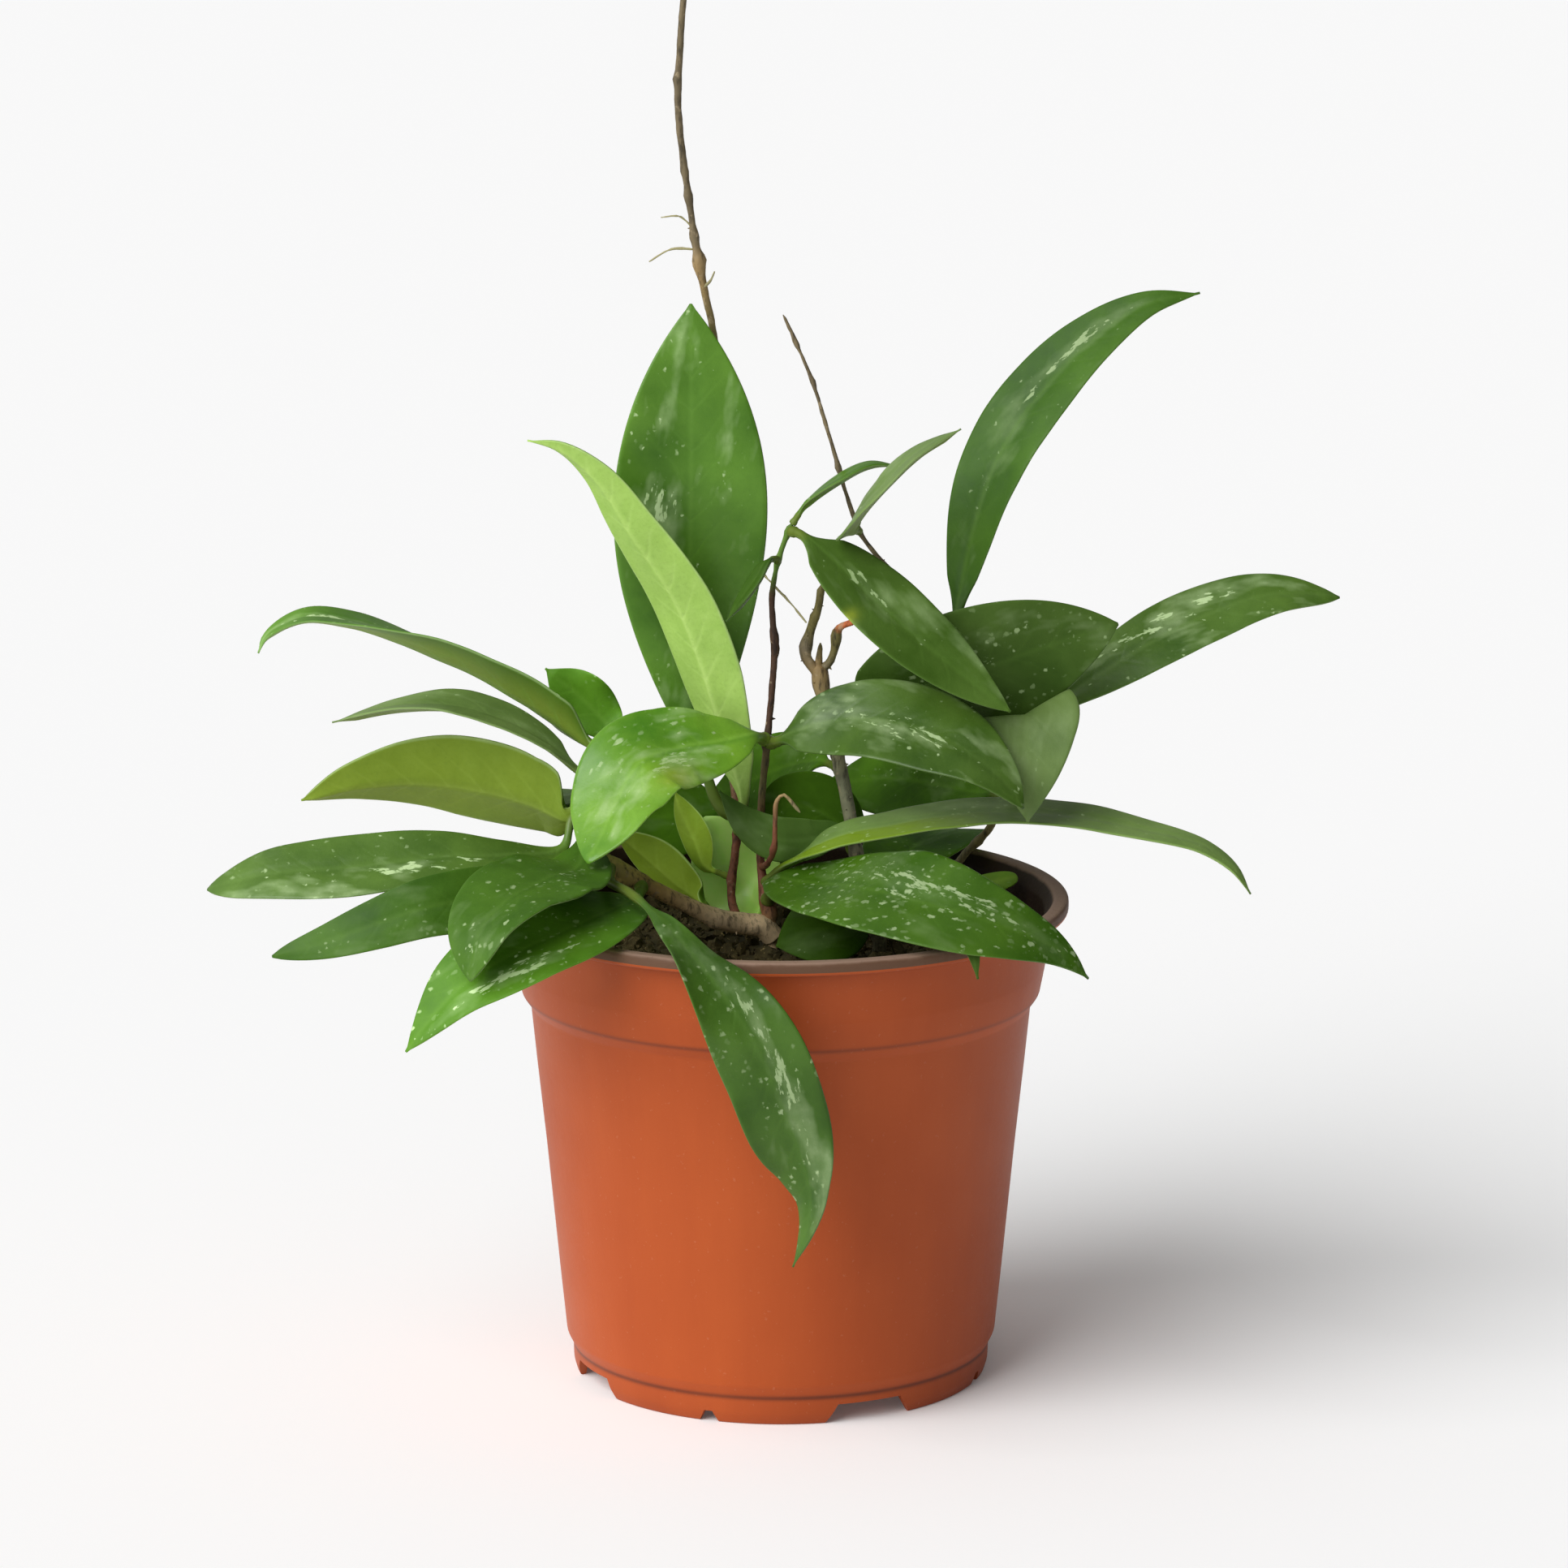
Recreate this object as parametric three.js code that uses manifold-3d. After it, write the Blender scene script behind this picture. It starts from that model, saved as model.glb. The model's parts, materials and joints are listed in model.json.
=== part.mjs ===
// A young hoya pubicalyx in a plain terracotta-coloured nursery pot.
// Millimetres, +Z up. The origin is the centre of the pot's foot, on the surface it stands on.
// The front of the plant looks along -Y.

import * as THREE from 'three';
import { mergeVertices } from 'three/addons/utils/BufferGeometryUtils.js';
import Module from 'manifold-3d';

const wasm = await Module();
wasm.setup();

// Driving dimensions of the pot
const potHeight = 92;
const rimRadius = 54.2;
const lipHeight = 2.6;
const lipWidth = 3;
const wallThickness = 1.1;
const footRadius = 38.9;
const footStep = 5.3;
const bandBottom = 74.1;
const floorUnderside = 4.2;
const roundSides = 48;

// Driving dimensions of the notches and drain holes in the foot
const largeNotchDepth = 3.7;
const largeNotchHalfWidth = 8.6;
const largeNotchSlope = 2.2;
const largeNotchAzimuth = 25;
const smallNotchDepth = 2.2;
const smallNotchHalfWidth = 1.9;
const smallNotchSlope = 1.1;
const smallNotchAzimuth = -20;
const drainHoleRadius = 3;
const drainHoleCircle = 25;
const drainHoleCount = 6;

// Driving dimensions of the soil
const soilHeight = 81;
const soilGap = 0.4;
const stemClearance = 0.5;
const buriedDepth = 22;

// Driving dimensions of the leaves
const leafGap = 0.4;
const stalkShare = 0.055;
const stalkRange = [0.6, 1.1];
const ribThickness = 1.4;
const edgeThickness = 0.75;
const tipHalfWidth = 0.5;

// The plant is described as seen from the front: how far right and how high a point appears
// on the upright plane through the pot's axis, and how far it lies behind that plane.
const eye = new THREE.Vector3(0.6, -1200, 379);

function seen([right, up, depth]) {
  const onPlane = new THREE.Vector3(right, 0, up);
  return onPlane.sub(eye).multiplyScalar(1 + depth / -eye.y).add(eye);
}

// Stems: each branch is a line of seen points, from its root or its parent outwards,
// with its radius at the start and at the end.
const branches = {
  left: {
    radius: [2.2, 1.4],
    points: [[-1.6, 83.8, 0], [-3.4, 85.6, -0.8], [-7, 86.2, -2], [-12, 87.2, -5], [-20, 91, -9],
      [-29, 95.6, -13], [-34.6, 99.6, -14], [-36, 106, -11], [-34.6, 113, -7], [-32, 119, -3],
      [-30, 124, 0]],
  },
  vine: {
    radius: [2.4, 0.55],
    taper: 0.22,
    rooted: true,
    points: [[-1.5, 81, 0], [-2.2, 88, 0], [-3.8, 98, 2], [-3.6, 110, 3], [-2.2, 125, 3],
      [-1.2, 139, 2], [-1.6, 150, 1], [0.2, 158, 0], [2.2, 162.8, -1]],
  },
  tall: {
    radius: [1, 0.85],
    points: [[-7.5, 86, -2], [-9.3, 91, 4], [-8.2, 105, 9], [-9, 116, 14], [-9.6, 133, 18], [-10, 160, 20],
      [-10.6, 180, 19], [-12.2, 197, 17], [-15, 211, 15], [-17, 224, 15], [-18.8, 240, 15],
      [-18.4, 252, 15], [-17.2, 266, 15], [-16.6, 272, 15]],
  },
  stub: {
    radius: [0.9, 0.4],
    points: [[-3.4, 97.2, 1.4], [-2.4, 98, -5.4], [-1.2, 101, -8.6], [-1.1, 106, -9.4],
      [-0.8, 109.7, -9.6], [0.4, 111.1, -9.6], [3.6, 107.7, -9.4]],
  },
  right: {
    radius: [1.7, 1.35],
    rooted: true,
    points: [[18.5, 81, 0], [17, 86, 1], [14.6, 98, 3], [12.8, 108, 4], [10.4, 120, 5], [8, 130, 5],
      [7, 136.4, 5]],
  },
  knob: {
    radius: [1.3, 0.8],
    points: [[6.8, 134.5, 5], [4.6, 138, 5], [5.4, 142, 5], [6.8, 146.2, 4], [7.6, 151, 3]],
  },
  bud: {
    radius: [1.1, 0.5],
    points: [[7, 135.5, 5], [7.2, 138, 5], [7.4, 140.2, 4.6]],
  },
  fork: {
    radius: [1.1, 0.6],
    points: [[7.4, 135, 5], [9.2, 136.6, 4.6], [10.1, 139.6, 4.2], [10.8, 142.8, 3.6], [14, 144.4, 2]],
  },
  farRight: {
    radius: [1.4, 0.6],
    rooted: true,
    points: [[24, 83.2, 9], [28, 91, 9], [34.5, 99.5, 8], [39.4, 105, 6], [43, 114, 4], [43.4, 123, 3],
      [38.5, 131, 2], [32.6, 139, 1], [25, 149, 1], [15.4, 160, 2], [12.6, 167, 2], [9.4, 178, 2],
      [6, 189, 2], [3, 196.4, 2], [0.4, 202, 2]],
  },
};

// Aerial roots: thin threads that grow from a branch
const rootRadius = 0.45;
const uprightRise = 2;
const aerialRoots = [
  { on: 'tall', points: [[-16.2, 218.2, 15], [-18.7, 220.2, 14.4], [-22.1, 220, 14]] },
  { on: 'tall', points: [[-15.5, 214.1, 15], [-20.2, 214.1, 14.4], [-24.3, 211.8, 14]] },
  { on: 'tall', points: [[-14.4, 207, 15], [-13, 208.2, 14.8], [-12.2, 210, 14.6]] },
  { on: 'vine', points: [[-3.6, 153.6, 2], [-1.2, 151, 1], [1.4, 148.2, 0], [4.8, 144, -1]] },
];

// Leaves: the branch that each grows from and the height there, its midrib from petiole to tip,
// the directions that its upper face looks in along the way, and the shape of its blade.
const leaves = [
  {
    name: 'leaf_back_upright', on: 'tall', height: 105, width: 29, belly: 0.58, point: 2.3,
    fold: 4, petiole: 7,
    midrib: [[-13, 112, 11], [-15.4, 126, 12], [-16.8, 150, 12], [-16.6, 178, 12], [-16.6, 204, 13]],
    faces: [[0.1, -1, 0.1], [0, -1, 0.1], [0, -1, 0.2]],
  },
  {
    name: 'leaf_pale_upright', on: 'tall', height: 102, width: 14.5, belly: 0.42, point: 1.7,
    fold: 12, petiole: 5,
    midrib: [[-7, 110, 6.4], [-10.4, 122, 6.6], [-14.2, 135, 5], [-19.4, 148.3, 3], [-27.6, 161.6, 0],
      [-34, 171.5, -2], [-41, 177, -3], [-47, 178.4, -3]],
    faces: [[0.5, 0.8, 0.1], [0.4, 0.8, 0.4], [0.2, 0.7, 0.7]],
  },
  {
    name: 'leaf_centre_left', on: 'vine', height: 121, width: 21.4, belly: 0.57, point: 1.7, tip: 1.8,
    fold: 10, curl: 0.1, petiole: 3,
    midrib: [[-6, 122.4, -3], [-12, 121.2, -7], [-19.6, 120, -11], [-26.4, 117, -16],
      [-30.4, 110.4, -21], [-33, 104.6, -26], [-36.2, 97.8, -31]],
    faces: [[0, -0.75, 0.65], [-0.15, -0.75, 0.65], [-0.6, -0.75, 0.2]],
  },
  {
    name: 'leaf_centre_right', on: 'vine', height: 120.5, width: 19, belly: 0.45, tip: 1.6,
    fold: 6, petiole: 3,
    midrib: [[4, 123.4, -4], [11, 125.2, -8], [18, 125.4, -12], [26, 123.4, -16], [34, 119.6, -20],
      [40.8, 114.4, -24], [45.6, 108.4, -27]],
    faces: [[0, -0.8, 0.6], [0, -0.7, 0.75], [0.5, -0.7, 0.5]],
  },
  {
    name: 'leaf_upper_right', on: 'farRight', height: 139.5, width: 15.2, belly: 0.5, point: 2, tip: 2.1,
    fold: 12, petiole: 1.8,
    midrib: [[32.8, 142, 2.4], [35.2, 158, 6], [39, 171.4, 9], [46.2, 184.4, 11], [57.4, 196.6, 13],
      [67.4, 203.5, 14], [77.4, 206, 14]],
    faces: [[-0.6, -0.8, 0.2], [-0.5, -0.75, 0.4], [-0.2, -0.7, 0.7]],
  },
  {
    name: 'leaf_far_right', on: 'farRight', height: 124, width: 13.6, belly: 0.54, point: 1.7, tip: 1.7,
    fold: 8, petiole: 5,
    midrib: [[48.8, 127, 4.4], [57, 132.2, 7], [68, 139.4, 11], [80, 145.6, 15], [92, 149.2, 18],
      [104.2, 148.8, 21]],
    faces: [[0.1, -0.7, 0.7], [0, -0.65, 0.75], [0, -0.6, 0.8]],
  },
  {
    name: 'leaf_dark_right', on: 'right', height: 124, width: 25, belly: 0.52, point: 1.5, tip: 1.8,
    fold: 4, petiole: 3,
    midrib: [[13.4, 127.2, 2], [25, 131.2, -2.4], [38, 135.4, -3], [51, 140, -3.2], [63, 143.8, -3]],
    faces: [[0, -1, -0.05], [0, -1, -0.08], [0, -1, 0.1]],
  },
  {
    name: 'leaf_diagonal', on: 'vine', height: 161.6, width: 15.8, belly: 0.44, point: 1.6, tip: 1.65,
    fold: 7, petiole: 1.4,
    midrib: [[6, 158.9, -4.2], [15.6, 150, -9], [25.4, 141, -13], [35, 133, -16], [43, 127, -18]],
    faces: [[0.5, -0.75, 0.6], [0.45, -0.8, 0.5], [0.4, -0.85, 0.4]],
  },
  {
    name: 'leaf_drooping_right', on: 'farRight', height: 118, width: 20.4, belly: 0.34, point: 1.5,
    tip: 1.5, fold: 6, petiole: 4,
    midrib: [[45, 122, -2.4], [45.4, 125.6, -7], [46, 126, -11], [46.2, 122, -14.4], [46.4, 116, -17],
      [46.4, 110.4, -18.6], [46.4, 105.8, -19.4]],
    faces: [[0, -0.4, 1], [0, -0.9, 0.4], [0, -1, 0.1]],
  },
  {
    name: 'leaf_vine_tip', on: 'vine', height: 170, width: 5, belly: 0.4, fold: 10, petiole: 2,
    midrib: [[4.8, 166.4, -2], [10.8, 170.8, -2.4], [16.8, 173.8, -2], [23, 173.4, -1]],
    faces: [[-0.3, 0.1, 0.9], [-0.2, -0.1, 0.95], [0, -0.1, 1]],
  },
  {
    name: 'leaf_slim_right', on: 'farRight', height: 161, width: 11.4, belly: 0.42, point: 1.5, tip: 1.8,
    fold: 8, petiole: 2,
    midrib: [[13, 161.4, -4], [17.4, 167.6, -10], [25, 175.4, -13], [33.4, 180.6, -14]],
    faces: [[-0.5, -0.25, 0.8], [-0.5, -0.2, 0.85], [-0.4, -0.1, 0.9]],
  },
  {
    name: 'leaf_vine_small', on: 'vine', height: 155.8, width: 5.6, belly: 0.4, fold: 14, petiole: 1.4,
    midrib: [[-2.6, 155.3, -3.4], [-4.4, 152.2, -4.6], [-7, 148.4, -5.6], [-10.2, 144.2, -6]],
    faces: [[-0.6, -0.25, 0.75], [-0.7, -0.3, 0.65], [-0.8, -0.3, 0.5]],
  },
  {
    name: 'leaf_left_top', on: 'left', height: 120, width: 16.8, belly: 0.46, point: 1.2, tip: 1.8,
    fold: 14, petiole: 4,
    midrib: [[-36, 121, 2], [-43, 126, 4], [-55, 133.4, 6], [-68, 139.6, 7], [-80, 143.6, 7],
      [-89, 144.6, 7], [-96, 141.2, 7], [-97.6, 138.2, 7]],
    faces: [[0.2, 0.7, 0.7], [0.1, 0.3, 0.95], [-0.3, -0.4, 0.85]],
  },
  {
    name: 'leaf_left_second', on: 'left', height: 115.4, width: 14, belly: 0.42, fold: 12, petiole: 4,
    midrib: [[-37.4, 115.4, -6], [-43, 120, -6], [-51, 124.8, -5], [-60, 127.7, -4], [-71, 127.9, -3],
      [-84, 125, -2]],
    faces: [[0.2, -0.1, 0.95], [0.1, -0.15, 1], [-0.2, 0.1, 1]],
  },
  {
    name: 'leaf_left_olive', on: 'left', height: 111, width: 22, belly: 0.4, point: 1.3, tip: 1.6,
    fold: 14, petiole: 2,
    midrib: [[-39.6, 106.8, -6], [-46, 109.6, -2], [-56, 112.2, 2], [-68, 113.8, 5], [-80, 113, 7],
      [-90, 110, 8]],
    faces: [[0.1, 0.85, 0.5], [0.1, 0.85, 0.5], [0, 0.8, 0.6]],
  },
  {
    name: 'leaf_left_long', on: 'left', height: 108.4, width: 14.8, belly: 0.6, tip: 1.8,
    fold: 6, petiole: 4,
    midrib: [[-41, 100.8, -16], [-52, 99.2, -24], [-66, 98.7, -28], [-82, 96.8, -29], [-96, 95.6, -28],
      [-108, 92.8, -24]],
    faces: [[-0.1, -0.6, 0.8], [0, -0.6, 0.8], [-0.1, -0.6, 0.8]],
  },
  {
    name: 'leaf_left_low', on: 'left', height: 102, width: 12.4, belly: 0.36, point: 1, tip: 1.05,
    fold: 4, petiole: 4,
    midrib: [[-38.6, 92.4, -22], [-50, 91.4, -33], [-58, 90.8, -37.4], [-67, 89.2, -40],
      [-76.4, 86, -41], [-86, 82.6, -40], [-96, 79.8, -38]],
    faces: [[0, -0.9, 0.4], [0, -0.9, 0.4], [-0.1, -0.9, 0.4]],
  },
  {
    name: 'leaf_left_broad', on: 'left', height: 105.2, width: 21, belly: 0.5, tip: 1.6,
    fold: 6, petiole: 4,
    midrib: [[-38, 97, -27], [-44.4, 94.6, -39], [-51.6, 90.4, -49], [-56.6, 84, -56], [-58.6, 75, -60]],
    faces: [[0, -0.7, 0.7], [-0.3, -0.7, 0.65], [-0.65, -0.65, 0.4]],
  },
  {
    name: 'leaf_over_rim_left', on: 'left', height: 97, width: 19.4, belly: 0.5, fold: 10, petiole: 5,
    midrib: [[-29, 90, -26], [-37, 86.4, -40], [-48.6, 81, -50], [-60.6, 73.4, -55], [-71, 61.2, -57]],
    faces: [[0.1, -0.5, 0.85], [-0.1, -0.65, 0.75], [-0.5, -0.7, 0.5]],
  },
  {
    name: 'leaf_hanging_front', on: 'left', height: 100.6, width: 16.4, belly: 0.6, point: 2.7, tip: 3.1,
    fold: 9, wave: 1.7, petiole: 24,
    midrib: [[-32.1, 94.2, -24], [-29, 92.5, -32], [-25.2, 89.4, -41], [-19.9, 83.7, -50],
      [-13.8, 76.1, -58], [-8.3, 68.2, -61.5], [-2.8, 58.1, -62], [0.8, 49.1, -62],
      [3.1, 42.8, -61.5], [5.1, 36.7, -61], [6, 31.4, -61], [5.1, 26.1, -61], [2.3, 18.8, -61]],
    faces: [[0.4, -0.4, 0.8], [0.15, -1, 0.2], [-0.95, -0.6, 0.1]],
  },
  {
    name: 'leaf_front_right', on: 'vine', height: 90.6, width: 23, belly: 0.46, point: 2.2, tip: 2,
    fold: 6, petiole: 3.2,
    midrib: [[-1.4, 94.7, -7], [3.5, 94.1, -14], [11.9, 93.3, -26], [21.1, 91.6, -36],
      [31.8, 88.7, -42], [42.5, 85.1, -43.5], [50.5, 81.8, -43], [54.8, 78.8, -42.6],
      [58.1, 75.5, -42]],
    faces: [[0, -0.55, 0.85], [0, -0.6, 0.8], [0.35, -0.65, 0.65]],
  },
  {
    name: 'leaf_arching_right', on: 'vine', height: 93.8, width: 13.4, belly: 0.5, point: 1.3, tip: 1.8,
    fold: 6, petiole: 6.6,
    midrib: [[0.3, 97.2, -5.2], [3.3, 98.8, -8.2], [6.4, 100.8, -9.8], [11, 102.9, -10.4],
      [21, 104.9, -10], [30.2, 106.5, -9.4], [40.8, 107.4, -8.8], [56.1, 106.6, -10],
      [66.8, 104.4, -12], [79, 101.1, -15], [85.2, 96.9, -17.6], [88.5, 91.9, -19]],
    faces: [[0, -0.2, 1], [0, -0.14, 1], [0.3, -0.25, 0.9]],
  },
  {
    name: 'leaf_blue_green', on: 'right', height: 102, width: 8.6, belly: 0.45, fold: 6, petiole: 3,
    midrib: [[12.2, 104.4, 1], [5.8, 102.6, -1], [-1.1, 102.7, -2.6], [-6.7, 106, -2.6],
      [-11.6, 111.9, -2]],
    faces: [[0, -1, 0.3], [0, -1, 0.2], [0.2, -1, 0.2]],
  },
  {
    name: 'leaf_glossy_inner', on: 'vine', height: 88, width: 17, belly: 0.52, point: 1.6,
    fold: 10, petiole: 3,
    midrib: [[-4, 89.4, 8], [-6.1, 92.5, 12], [-8.9, 97.5, 14.4], [-11.6, 102.6, 15],
      [-14.3, 106.9, 15]],
    faces: [[-0.2, -0.9, 0.5], [-0.2, -1, 0.4], [-0.2, -1, 0.3]],
  },
  {
    name: 'leaf_behind_left', on: 'left', height: 122, width: 10.6, belly: 0.68, point: 3.6, tip: 4,
    fold: 9, wave: 1, petiole: 3,
    midrib: [[-29.4, 121.4, 8], [-32, 124.2, 12], [-37, 129.4, 13], [-44, 135.3, 13]],
    faces: [[0, -1, 0.2], [0, -1, 0.2], [-0.2, -1, 0.2]],
  },
  {
    name: 'leaf_inner_low', on: 'right', height: 85.4, width: 14, belly: 0.5, fold: 6, petiole: 3,
    midrib: [[14.7, 86.4, -5], [9.5, 85.6, -9], [4, 83.9, -9.5], [-0.9, 81.8, -9]],
    faces: [[0, -0.9, 0.5], [0, -0.9, 0.45], [-0.1, -0.9, 0.4]],
  },
  {
    name: 'leaf_olive_inner', on: 'left', height: 88.6, width: 11, belly: 0.5, fold: 8, petiole: 3,
    midrib: [[-15, 90.9, 2], [-19, 94.1, 5], [-24.7, 99.1, 8], [-31.1, 104.4, 9]],
    faces: [[0.2, 0.9, 0.4], [0.2, 0.9, 0.4], [0.2, 0.9, 0.4]],
  },
  {
    name: 'leaf_sliver_inner', on: 'tall', height: 93.6, width: 6.4, belly: 0.5, fold: 10, petiole: 3,
    midrib: [[-13.8, 97.2, 8], [-15.9, 102.6, 10], [-18, 107.2, 12], [-19.8, 111.6, 13]],
    faces: [[0.2, 0.9, 0.2], [0.2, 0.9, 0.2], [0.2, 0.9, 0.2]],
  },
  {
    name: 'leaf_under_front', on: 'right', height: 88.6, width: 8, belly: 0.5, fold: 10, petiole: 4,
    midrib: [[22, 88.4, -10], [28, 87.4, -26], [32.6, 85.8, -38], [36.2, 80.6, -47], [37.2, 75.4, -49]],
    faces: [[0, -0.4, 0.9], [0, -0.5, 0.85], [0.2, -0.8, 0.5]],
  },
  {
    name: 'leaf_inner_stub', on: 'farRight', height: 86, width: 4.4, belly: 0.6, point: 1,
    fold: 6, petiole: 6,
    midrib: [[31, 91.4, 14], [37, 93.2, 15.4], [44.6, 95.2, 16]],
    faces: [[0, -0.8, 0.6], [0, -0.8, 0.6], [0, -0.8, 0.6]],
  },
  {
    name: 'leaf_back_right', on: 'farRight', height: 108, width: 17, belly: 0.52, fold: 6, petiole: 4,
    midrib: [[37, 111.4, 16], [30, 112.8, 26], [21, 114, 37], [8, 113, 50]],
    faces: [[0, -0.9, 0.5], [0, -0.9, 0.5], [0, -0.8, 0.6]],
  },
  {
    name: 'leaf_inner_left', on: 'tall', height: 107, width: 16, belly: 0.5, point: 1.5,
    fold: 6, petiole: 9,
    midrib: [[-12, 108, 21], [-18, 107.2, 26], [-26, 106.8, 28], [-35, 107.4, 28]],
    faces: [[0, -1, 0.25], [0, -1, 0.25], [0, -1, 0.3]],
  },
  {
    name: 'leaf_inner_right', on: 'right', height: 99, width: 14, belly: 0.5, point: 1.4,
    fold: 6, petiole: 2,
    midrib: [[12.4, 103.6, 6.4], [8, 107.6, 7.6], [1.6, 109.2, 8.8], [-4.2, 108.6, 9.2]],
    faces: [[0, -1, 0.25], [0, -1, 0.25], [0, -1, 0.3]],
  },
  {
    name: 'leaf_back_centre', on: 'right', height: 115, width: 15, belly: 0.52, fold: 6, petiole: 4,
    midrib: [[7, 117.6, 13], [1, 116.4, 25], [-6, 113.4, 35], [-14, 110, 46]],
    faces: [[0, -0.9, 0.5], [0, -0.9, 0.5], [0, -0.8, 0.6]],
  },
  {
    name: 'leaf_back_low', on: 'right', height: 92, width: 21, belly: 0.5, fold: 8, petiole: 4,
    midrib: [[20.6, 96.6, 16], [26, 101.6, 30], [31, 103.8, 46], [34, 101, 63]],
    faces: [[0, -0.4, 0.9], [0, -0.1, 1], [0.1, 0.3, 0.95]],
  },
  {
    name: 'leaf_back_left', on: 'left', height: 117, width: 21, belly: 0.5, fold: 8, petiole: 4,
    midrib: [[-28.4, 116.8, 8], [-24, 119.4, 24], [-20.6, 118.4, 44], [-18, 113.6, 64]],
    faces: [[0, -0.3, 0.95], [0, 0, 1], [0, 0.35, 0.95]],
  },
  {
    name: 'leaf_back_high', on: 'tall', height: 148, width: 21, belly: 0.52, fold: 8, petiole: 5,
    midrib: [[-12.4, 158.4, 28], [-14.6, 165.4, 39], [-16, 168, 52], [-16.6, 165.4, 64]],
    faces: [[0, -0.4, 0.9], [0, 0, 1], [0, 0.3, 0.95]],
  },
  {
    name: 'leaf_back_far_right', on: 'right', height: 118, width: 20, belly: 0.54, fold: 8, petiole: 4,
    midrib: [[18, 125.4, 22], [28, 131, 34], [38, 135, 46], [47.6, 135, 57]],
    faces: [[0, -0.5, 0.85], [0, -0.3, 0.95], [0.1, 0.1, 1]],
  },
  {
    name: 'leaf_back_far_left', on: 'left', height: 113, width: 19, belly: 0.5, fold: 8, petiole: 4,
    midrib: [[-38, 108, 8], [-44, 109.6, 22], [-51, 110.4, 36], [-58, 108.6, 50]],
    faces: [[0, -0.3, 0.95], [0, 0, 1], [-0.1, 0.2, 1]],
  },
];

// Colours and finishes
const finishes = {
  terracotta: { color: 0xbd5a34, roughness: 0.55 },
  soil: { color: 0x2a1c12, roughness: 0.95 },
  bark: { color: 0x75614b, roughness: 0.8 },
  leafDark: { color: 0x3f6f2a, roughness: 0.38 },
  leafBright: { color: 0x79b347, roughness: 0.36 },
  leafOlive: { color: 0x7d9434, roughness: 0.5 },
};

const brightLeaves = ['leaf_centre_left', 'leaf_glossy_inner'];
const oliveLeaves = ['leaf_pale_upright', 'leaf_left_olive', 'leaf_olive_inner', 'leaf_sliver_inner'];

function finish(key) {
  return new THREE.MeshStandardMaterial({ ...finishes[key], metalness: 0 });
}

// Joining and cutting of closed meshes
function toSolid(geometry) {
  const bare = geometry.clone();
  bare.deleteAttribute('normal');
  bare.deleteAttribute('uv');
  const merged = mergeVertices(bare, 1e-4);
  const vertProperties = new Float32Array(merged.attributes.position.array);
  const triVerts = new Uint32Array(merged.index.array);
  return new wasm.Manifold(new wasm.Mesh({ numProp: 3, vertProperties, triVerts }));
}

function toGeometry(solid) {
  const mesh = solid.getMesh();
  const geometry = new THREE.BufferGeometry();
  geometry.setAttribute('position', new THREE.BufferAttribute(new Float32Array(mesh.vertProperties), 3));
  geometry.setIndex(new THREE.BufferAttribute(new Uint32Array(mesh.triVerts), 1));
  geometry.computeVertexNormals();
  return geometry;
}

// A closed skin over a row of rings with the same number of points each.
// Points 0 to n/2 - 1 of a ring are its upper side and the rest its underside, running back,
// so that both sides are split into triangles alike.
function skinOver(rings) {
  const count = rings[0].length;
  const half = count / 2;
  const positions = rings.flat().flatMap((p) => [p.x, p.y, p.z]);
  const triangles = [];
  for (let ring = 0; ring < rings.length - 1; ring += 1) {
    for (let i = 0; i < count; i += 1) {
      const next = (i + 1) % count;
      const a = ring * count + i;
      const b = ring * count + next;
      const c = b + count;
      const d = a + count;
      if (i < half) triangles.push(a, c, b, a, d, c);
      else triangles.push(a, d, b, b, d, c);
    }
  }
  const last = (rings.length - 1) * count;
  for (let i = 0; i < half - 1; i += 1) {
    const opposite = count - 1 - i;
    triangles.push(i, i + 1, opposite, i + 1, opposite - 1, opposite);
    triangles.push(last + i, last + opposite, last + i + 1);
    triangles.push(last + i + 1, last + opposite, last + opposite - 1);
  }
  const geometry = new THREE.BufferGeometry();
  geometry.setAttribute('position', new THREE.Float32BufferAttribute(positions, 3));
  geometry.setIndex(triangles);
  geometry.computeVertexNormals();
  return geometry;
}

// Stems
const stemSides = 8;
const rootSides = 6;
const stemStep = 7;

function branchCurve(branch) {
  const points = branch.points.map(seen);
  if (branch.rooted) {
    const top = points[0];
    points[0] = new THREE.Vector3(top.x, top.y, soilHeight + uprightRise);
    points.unshift(
      new THREE.Vector3(top.x, top.y, soilHeight - buriedDepth),
      new THREE.Vector3(top.x, top.y, soilHeight - uprightRise),
    );
  }
  return new THREE.CatmullRomCurve3(points, false, 'centripetal');
}

function radiusAt(branch, share) {
  const { radius: [start, end], taper = 0.5 } = branch;
  return start + (end - start) * share ** taper;
}

function tube(curve, radius, sides, step) {
  const steps = Math.max(3, Math.round(curve.getLength() / step));
  const frames = curve.computeFrenetFrames(steps, false);
  const rings = [];
  for (let i = 0; i <= steps; i += 1) {
    const share = i / steps;
    const centre = curve.getPointAt(share);
    const ring = [];
    for (let side = 0; side < sides; side += 1) {
      const angle = Math.PI * (1 - (2 * side + 1) / sides);
      ring.push(centre.clone()
        .addScaledVector(frames.normals[i], Math.sin(angle) * radius(share))
        .addScaledVector(frames.binormals[i], -Math.cos(angle) * radius(share)));
    }
    rings.push(ring);
  }
  return skinOver(rings);
}

function branchSolid(name) {
  const branch = branches[name];
  return toSolid(tube(branchCurve(branch), (share) => radiusAt(branch, share), stemSides, stemStep));
}

function rootSolid(root) {
  const curve = new THREE.CatmullRomCurve3(root.points.map(seen), false, 'centripetal');
  return toSolid(tube(curve, () => rootRadius, rootSides, 3));
}

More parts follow.
